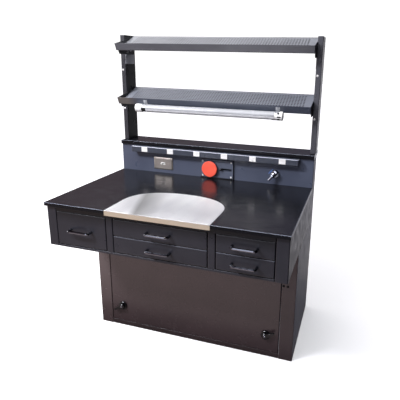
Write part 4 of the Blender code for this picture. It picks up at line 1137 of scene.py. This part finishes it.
    def fasten(self, bolt: Screw, plating: Material) -> None:
        """Bolt the end plates to the posts.

        Args:
            bolt: Bolt of the end plates.
            plating: Finish of the bolts.
        """
        low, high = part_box(self.node)
        post_low, post_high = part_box("post_left")
        z = self.fold.z - self.bracket_drop / 3
        for label, side in ENDS:
            x = high.x - self.sheet if side > 0 else low.x + self.sheet
            seats = [((x, post_low.y + share * (post_high.y - post_low.y), z + lift), self.bolt_turn)
                     for share, lift in self.bolt_places]
            bolt.row(f"{self.node}_{label}_bolts", seats, (-side, 0, 0), plating, "chrome")


@dataclass
class Superstructure:
    """Posts with their screws, and the two trays."""

    screw: Screw = Screw(0.0056, 0.0026, Drive.SLOT)
    screw_heights: Span = (1.306, 1.0985)
    screw_left: float = 0.003
    screw_turn: float = 40.0
    bolt: Screw = Screw(0.0068, 0.0045, Drive.HEX)
    hanger: Span = (1.337, 1.3886)
    hanger_inset: float = 0.0018
    hanger_depth: float = 0.0875
    hanger_sheet: float = 0.0015

    def hang(self, label: str, side: int, finish: Material) -> None:
        """Set the plate on a post's inner face that the upper tray hangs from.

        Args:
            label: Name of the post's end of the bench.
            side: -1 at the left post, 1 at the right post.
            finish: Enamel of the plate.
        """
        low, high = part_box(f"post_{label}")
        x = (low.x if side > 0 else high.x) - side * self.hanger_sheet / 2
        y = low.y + self.hanger_inset + self.hanger_depth / 2
        foot, top = self.hanger
        shape = bmesh.new()
        block(shape, (self.hanger_sheet, self.hanger_depth, top - foot), (x, y, (foot + top) / 2),
              self.hanger_sheet / 4)
        place_piece(f"shelf_upper_{label}_hanger", shape, finish, "black_paint")

    def dress(self, shop: Shop) -> None:
        """Finish the posts, set their screws and hanger plates, and dress the trays.

        Args:
            shop: The finishes.
        """
        for label, _ in ENDS:
            post = f"post_{label}"
            paint(shop.post, post)
            low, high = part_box(post)
            x = (low.x + high.x) / 2 - self.screw_left
            self.screw.row(f"{post}_screws", [((x, low.y, z), self.screw_turn) for z in self.screw_heights],
                           FORWARD, shop.white, "white_plastic")
        for label, side in ENDS:
            self.hang(label, side, shop.hanger)
        # The upper tray's bolts are white so that they show in the shade: painted light
        for node, finish, lining, plating in (
                ("shelf_upper", shop.tray_upper, shop.liner_upper, shop.white),
                ("shelf_lower", shop.tray_lower, shop.liner_lower, shop.zinc)):
            paint(finish, node)
            tray = TrayShelf(node)
            # The black sheet under the liner is painted shade in its holes
            tray.line(lining, shop.black)
            tray.fasten(self.bolt, plating)


@dataclass
class Lamp:
    """Tubular lamp: white reflector over a frosted lens, moulded caps, ribbed collars and clips."""

    seam: float = -6.0
    seam_gap: float = 2.0
    wall: float = 0.0015
    lens_inset: float = 0.0004
    collar: float = 0.024
    collar_radius: float = 0.0187
    collar_level: float = 14.0
    rib_height: float = 0.0009
    cap_round: float = 0.0030
    plug_share: float = 0.86
    arm_end: float = 0.0145
    # Black marks on the right collar, each along the bench and round it in degrees: the first three are its
    # slots, the fourth a painted shade along its underside
    slots_and_shade: tuple[tuple[float, float, float, float], ...] = (
        (0.3590, 0.3690, 26.0, 54.0), (0.3585, 0.3760, -18.0, -1.0),
        (0.3590, 0.3700, -64.0, -40.0), (0.3300, 0.3800, -100.0, -72.0))
    steps: int = 32

    def __post_init__(self) -> None:
        """Find the lamp's axis and ends."""
        low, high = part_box("lamp_tube")
        self.axis = (low + high) / 2
        self.radius = (high.z - low.z) / 2
        self.ends = {-1: low.x, 1: high.x}

    def shell(self, span: Span, arc: Span, radius: float, rib: float = 0.0,
              shape: Shape | None = None) -> Shape:
        """Make a stretch of curved wall along the lamp.

        Args:
            span: Where it starts and ends along the bench.
            arc: Where it starts and ends round the lamp, in degrees up from level at the sitter's side.
            radius: Its outer radius.
            rib: Depth of the flutes between its ribs.
            shape: Mesh that takes it, or none for a new one.

        Returns:
            A closed mesh in the bench's frame.
        """
        shape = shape or bmesh.new()
        left, right = sorted(span)
        inner = radius - self.wall - rib
        rows = []
        for i in range(self.steps + 1):
            angle = math.radians(arc[0] + (arc[1] - arc[0]) * i / self.steps)
            outer = radius - (rib if i % 4 > 1 else 0.0)
            rows.append([
                shape.verts.new((x, self.axis.y - r * math.cos(angle), self.axis.z + r * math.sin(angle)))
                for x, r in ((left, outer), (right, outer), (right, inner), (left, inner))
            ])
        for one, two in zip(rows, rows[1:]):
            for k in range(4):
                n = (k + 1) % 4
                shape.faces.new([one[k], one[n], two[n], two[k]])
        shape.faces.new(rows[0])
        shape.faces.new(rows[-1][::-1])
        return shape

    def cap(self, side: int, node: str) -> tuple[Shape, Shape]:
        """Make the moulded cap outside the collar, and the plug in its end.

        Args:
            side: -1 at the left end, 1 at the right end.
            node: CAD node of the cap.

        Returns:
            The cap with a recessed end, and the plug.
        """
        low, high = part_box(node)
        radius, rounding = (high.z - low.z) / 2, self.cap_round
        foot = self.ends[side] + side * self.collar
        length = abs((low.x if side < 0 else high.x) - foot)
        bow = [(radius - rounding + rounding * math.cos(a), length - rounding + rounding * math.sin(a))
               for a in (i * math.pi / 10 for i in range(6))]
        mouth, floor, ease = self.plug_share * radius, length - rounding, rounding / 4
        along = pose((foot, self.axis.y, self.axis.z), (side, 0, 0))
        shell, plug = bmesh.new(), bmesh.new()
        turn_profile(shell, [(0, 0), (radius - ease, 0), (radius, ease), *bow, (mouth, length),
                             (mouth, floor), (0, floor)], self.steps, along)
        turn_profile(plug, [(0, floor), (mouth - ease, floor), (mouth - ease, length - 2 * ease),
                            (mouth - 2 * ease, length - ease), (0, length - ease)], self.steps, along)
        return shell, plug

    def strap(self, node: str) -> Shape:
        """Copy a clip and shorten its front arm, which only reaches over the top of the lamp.

        Args:
            node: CAD node of the clip.

        Returns:
            The shortened copy.
        """
        low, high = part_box(node)
        reach, drop = 2 * (self.axis.y - low.y), 4 * self.radius
        middle = ((low.x + high.x) / 2, self.axis.y - reach / 2, self.axis.z + self.arm_end - drop / 2)
        tool = bmesh.new()
        block(tool, (2 * (high.x - low.x), reach, drop), middle)
        return cut_away(copied(node), tool)

    def dress(self, shop: Shop) -> None:
        """Build the tube, its caps and collars, and its clips.

        Args:
            shop: The finishes.
        """
        tube = (self.ends[-1], self.ends[1])
        rear, gap = 180 - self.seam, self.seam_gap
        reflector = place_piece("lamp_reflector", self.shell(tube, (self.seam, rear), self.radius),
                                shop.reflector, "lamp_glass")
        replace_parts(reflector, "lamp_tube")
        lens = self.shell(tube, (rear + gap, 360 + self.seam - gap), self.radius - self.lens_inset)
        place_piece("lamp_lens", lens, shop.lens, "lamp_glass")
        level = self.collar_level
        for label, side in ENDS:
            node = f"lamp_cap_{label}"
            shell, plug = self.cap(side, node)
            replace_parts(place_piece(f"{node}_shell", shell, shop.white, "white_plastic"), node)
            place_piece(f"{node}_plug", plug, shop.black, "black_plastic")
            neck = (self.ends[side], self.ends[side] + side * self.collar)
            collar = self.shell(neck, (180 - level, 360 + level), self.collar_radius, self.rib_height)
            look = (shop.black, "black_plastic") if side < 0 else (shop.white, "white_plastic")
            place_piece(f"{node}_collar", collar, *look)
            bridge = self.shell(neck, (level, 180 - level), self.collar_radius)
            place_piece(f"{node}_bridge", bridge, shop.white, "white_plastic")
            # Black slots on the right collar, and a painted shade strip along its underside
            if side > 0:
                low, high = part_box(node)
                dark_strips, rim = bmesh.new(), (high.z - low.z) / 2 + self.lens_inset
                for start, end, first, last in self.slots_and_shade:
                    self.shell((start, end), (first, last), rim, shape=dark_strips)
                place_piece(f"{node}_windows", dark_strips, shop.black, "black_plastic")
            clip = f"lamp_clip_{label}"
            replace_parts(place_piece(f"{clip}_strap", self.strap(clip), shop.clip, "clip_plastic"), clip)


@dataclass(frozen=True)
class Panel:
    """A soft panel light: its middle, the point that it looks at, width and height, power and colour."""

    name: str
    place: Point
    target: Point
    size: Span
    watts: float
    shade: str = "#ffffff"

    def hang(self) -> None:
        """Hang the panel, unseen by the camera."""
        data = bpy.data.lights.new(self.name, "AREA")
        data.shape = "RECTANGLE"
        data.size, data.size_y = self.size
        data.energy = self.watts
        data.color = linear(self.shade)[:3]
        lamp = bpy.data.objects.new(self.name, data)
        lamp.visible_camera = False
        aim = Vector(self.target) - Vector(self.place)
        lamp.matrix_world = Matrix.Translation(self.place) @ aim.to_track_quat("-Z", "Y").to_matrix().to_4x4()
        bpy.context.scene.collection.objects.link(lamp)


@dataclass
class Studio:
    """Camera at the photograph's viewing angle, pale floor and soft light."""

    frame_px: float = 400.0
    focal_px: float = 410.816
    centre_px: Span = (238.99, 172.48)
    sensor_mm: float = 36.0
    place: tuple[float, float, float] = (0.7350, -1.7475, 1.3576)
    yaw: float = 16.248
    pitch: float = 14.948
    roll: float = 1.403
    floor_half: float = 30.0
    floor_drop: float = 0.0005
    floor_reach: Span = (1.2, 4.0)
    floor_glow: Span = (0.45, 1.1)
    speck_mm: float = 500.0
    dome: float = 60.0
    dome_glow: float = 1.2
    room: tuple[tuple[float, str], ...] = (
        (-1.0, "#6a6362"), (-0.50, "#7e7776"), (-0.30, "#dcd7d5"), (0.0, "#a09899"), (0.15, "#625c62"),
        (0.33, "#857e86"), (0.45, "#747078"), (0.6, "#868a96"), (0.98, "#cdd1da"))
    sweep: tuple[tuple[float, str], ...] = (
        (-0.6, "#fbeae8"), (-0.1, "#e6ecff"), (0.25, "#e6ecff"), (0.42, "#1c1c22"))
    panels: tuple[Panel, ...] = (
        Panel("overhead", (-0.5, -0.5, 3.2), (0, 0, 0.6), (3.0, 2.4), 85.0),
        Panel("key", (-1.7, -2.0, 3.0), (0, 0.2, 0.8), (0.6, 0.6), 95.0, "#f4f5ff"),
        Panel("tube", (-1.3, -2.0, 3.0), (-1.1, 0.2, 0.8), (2.6, 0.35), 28.0, "#f4f5ff"),
        Panel("front_window", (-1.8, -3.6, 2.2), (0, 0, 0.9), (3.2, 0.9), 18.0, "#eef2ff"),
        Panel("back_card", (-1.2, 2.3, 2.75), (0, -0.2, 0.76), (2.2, 0.6), 15.0),
        Panel("right_wall", (3.2, 0.9, 1.6), (0.4, 0, 0.8), (1.6, 2.0), 2.0),
        Panel("left_wall", (-3.4, 0.2, 0.35), (-0.3, 0.2, 0.8), (2.0, 1.0), 12.0),
        Panel("edge_card", (0.84, 3.4, 1.0), (0.54, 0.3, 1.1), (0.32, 1.8), 1.8),
        Panel("side_card", (0.75, 1.7, 0.05), (0.75, 0.9, 1.5), (0.35, 1.2), 0.35, "#fff6ee"),
        Panel("flank_card", (0.72, 0.95, 0.05), (0.72, 0.6, 1.2), (0.3, 0.8), 0.05),
        Panel("floor_bounce", (-0.2, -0.68, 0.006), (-0.2, -0.45, 0.6), (1.7, 0.6), 2.4, "#ffe9e4"))

    def camera(self) -> None:
        """Place the camera."""
        data = bpy.data.cameras.new("camera")
        data.sensor_width = self.sensor_mm
        data.lens = self.focal_px / self.frame_px * self.sensor_mm
        data.shift_x = 0.5 - self.centre_px[0] / self.frame_px
        data.shift_y = self.centre_px[1] / self.frame_px - 0.5
        data.clip_end = 4 * self.dome
        a, p, r = (math.radians(v) for v in (self.yaw, self.pitch, self.roll))
        ahead = Vector((-math.sin(a) * math.cos(p), math.cos(a) * math.cos(p), -math.sin(p)))
        level = Vector((math.cos(a), math.sin(a), 0))
        upright = level.cross(ahead)
        right = math.cos(r) * level + math.sin(r) * upright
        up = math.cos(r) * upright - math.sin(r) * level
        camera = bpy.data.objects.new("camera", data)
        turned = Matrix((right, up, -ahead)).transposed().to_4x4()
        camera.matrix_world = Matrix.Translation(self.place) @ turned
        bpy.context.scene.collection.objects.link(camera)
        bpy.context.scene.camera = camera

    def lights(self) -> None:
        """Hang the panels, and give the steel and the worktop a room to mirror."""
        for panel in self.panels:
            panel.hang()
        world = bpy.data.worlds.new("studio")
        world.use_nodes = True
        tree = world.node_tree
        tree.nodes.clear()
        axes = add(tree, "SeparateXYZ", Vector=add(tree, "TexCoord").outputs["Generated"]).outputs
        tinted = add(tree, "MixRGB", {"blend_type": "MULTIPLY"}, Fac=1.0,
                     Color1=ramp(tree, axes["Z"], self.room), Color2=ramp(tree, axes["X"], self.sweep))
        add(tree, "OutputWorld", Surface=add(tree, "Background", Color=tinted, Strength=1.0))
        bpy.context.scene.world = world
        bpy.context.scene.view_settings.view_transform = "Standard"

    def stage(self) -> None:
        """Lay the floor and set a white dome round the studio that only the camera sees."""
        shape = bmesh.new()
        bmesh.ops.create_grid(shape, x_segments=1, y_segments=1, size=self.floor_half,
                              matrix=Matrix.Translation((0, 0, -self.floor_drop)))
        material, tree, place = blank("pale_floor")
        speck = add(tree, "TexNoise", Vector=place, Scale=1 / (self.speck_mm * MM), Detail=3.0)
        tint = ramp(tree, speck, ((0.0, "#f6f4f1"), (1.0, "#faf9f7")))
        reach = add(tree, "VectorMath", {"operation": "LENGTH"}, place).outputs["Value"]
        glow = add(tree, "MapRange", Value=reach, From_Min=self.floor_reach[0], From_Max=self.floor_reach[1],
                   To_Min=self.floor_glow[0], To_Max=self.floor_glow[1])
        close(tree, add(tree, "BsdfPrincipled", Base_Color=tint, Roughness=0.9,
                        Emission_Color=linear("#fdfcfb"), Emission_Strength=glow))
        floor = self.set_down("floor", shape, material)
        floor.visible_glossy = floor.visible_diffuse = False
        shape = bmesh.new()
        bmesh.ops.create_uvsphere(shape, u_segments=32, v_segments=16, radius=self.dome)
        material, tree, _ = blank("white_dome")
        close(tree, add(tree, "Emission", Color=linear("#ffffff"), Strength=self.dome_glow))
        dome = self.set_down("dome", shape, material)
        dome.visible_diffuse = dome.visible_glossy = dome.visible_transmission = False
        dome.visible_shadow = dome.visible_volume_scatter = False

    @staticmethod
    def set_down(name: str, shape: Shape, material: Material) -> bpy.types.Object:
        """Put a piece on the stage.

        Args:
            name: Name of the piece.
            shape: Its form, which is freed.
            material: Its finish.

        Returns:
            The new object.
        """
        piece = stand(name, shape)
        piece.data.materials.append(material)
        return piece

    def build(self) -> None:
        """Set up camera, stage and light."""
        self.camera()
        self.stage()
        self.lights()


def main() -> None:
    """Build the studio and dress the bench, one sub-assembly after the other."""
    logging.basicConfig(level=logging.INFO, format="%(name)s: %(message)s")
    shop = Shop()
    Studio().build()
    for assembly in (Carcass(), Drawers(), Latches(), Worktop(), Services(), Superstructure(), Lamp()):
        LOG.info("dressing %s", type(assembly).__name__)
        assembly.dress(shop)


if __name__ == "__main__":
    main()
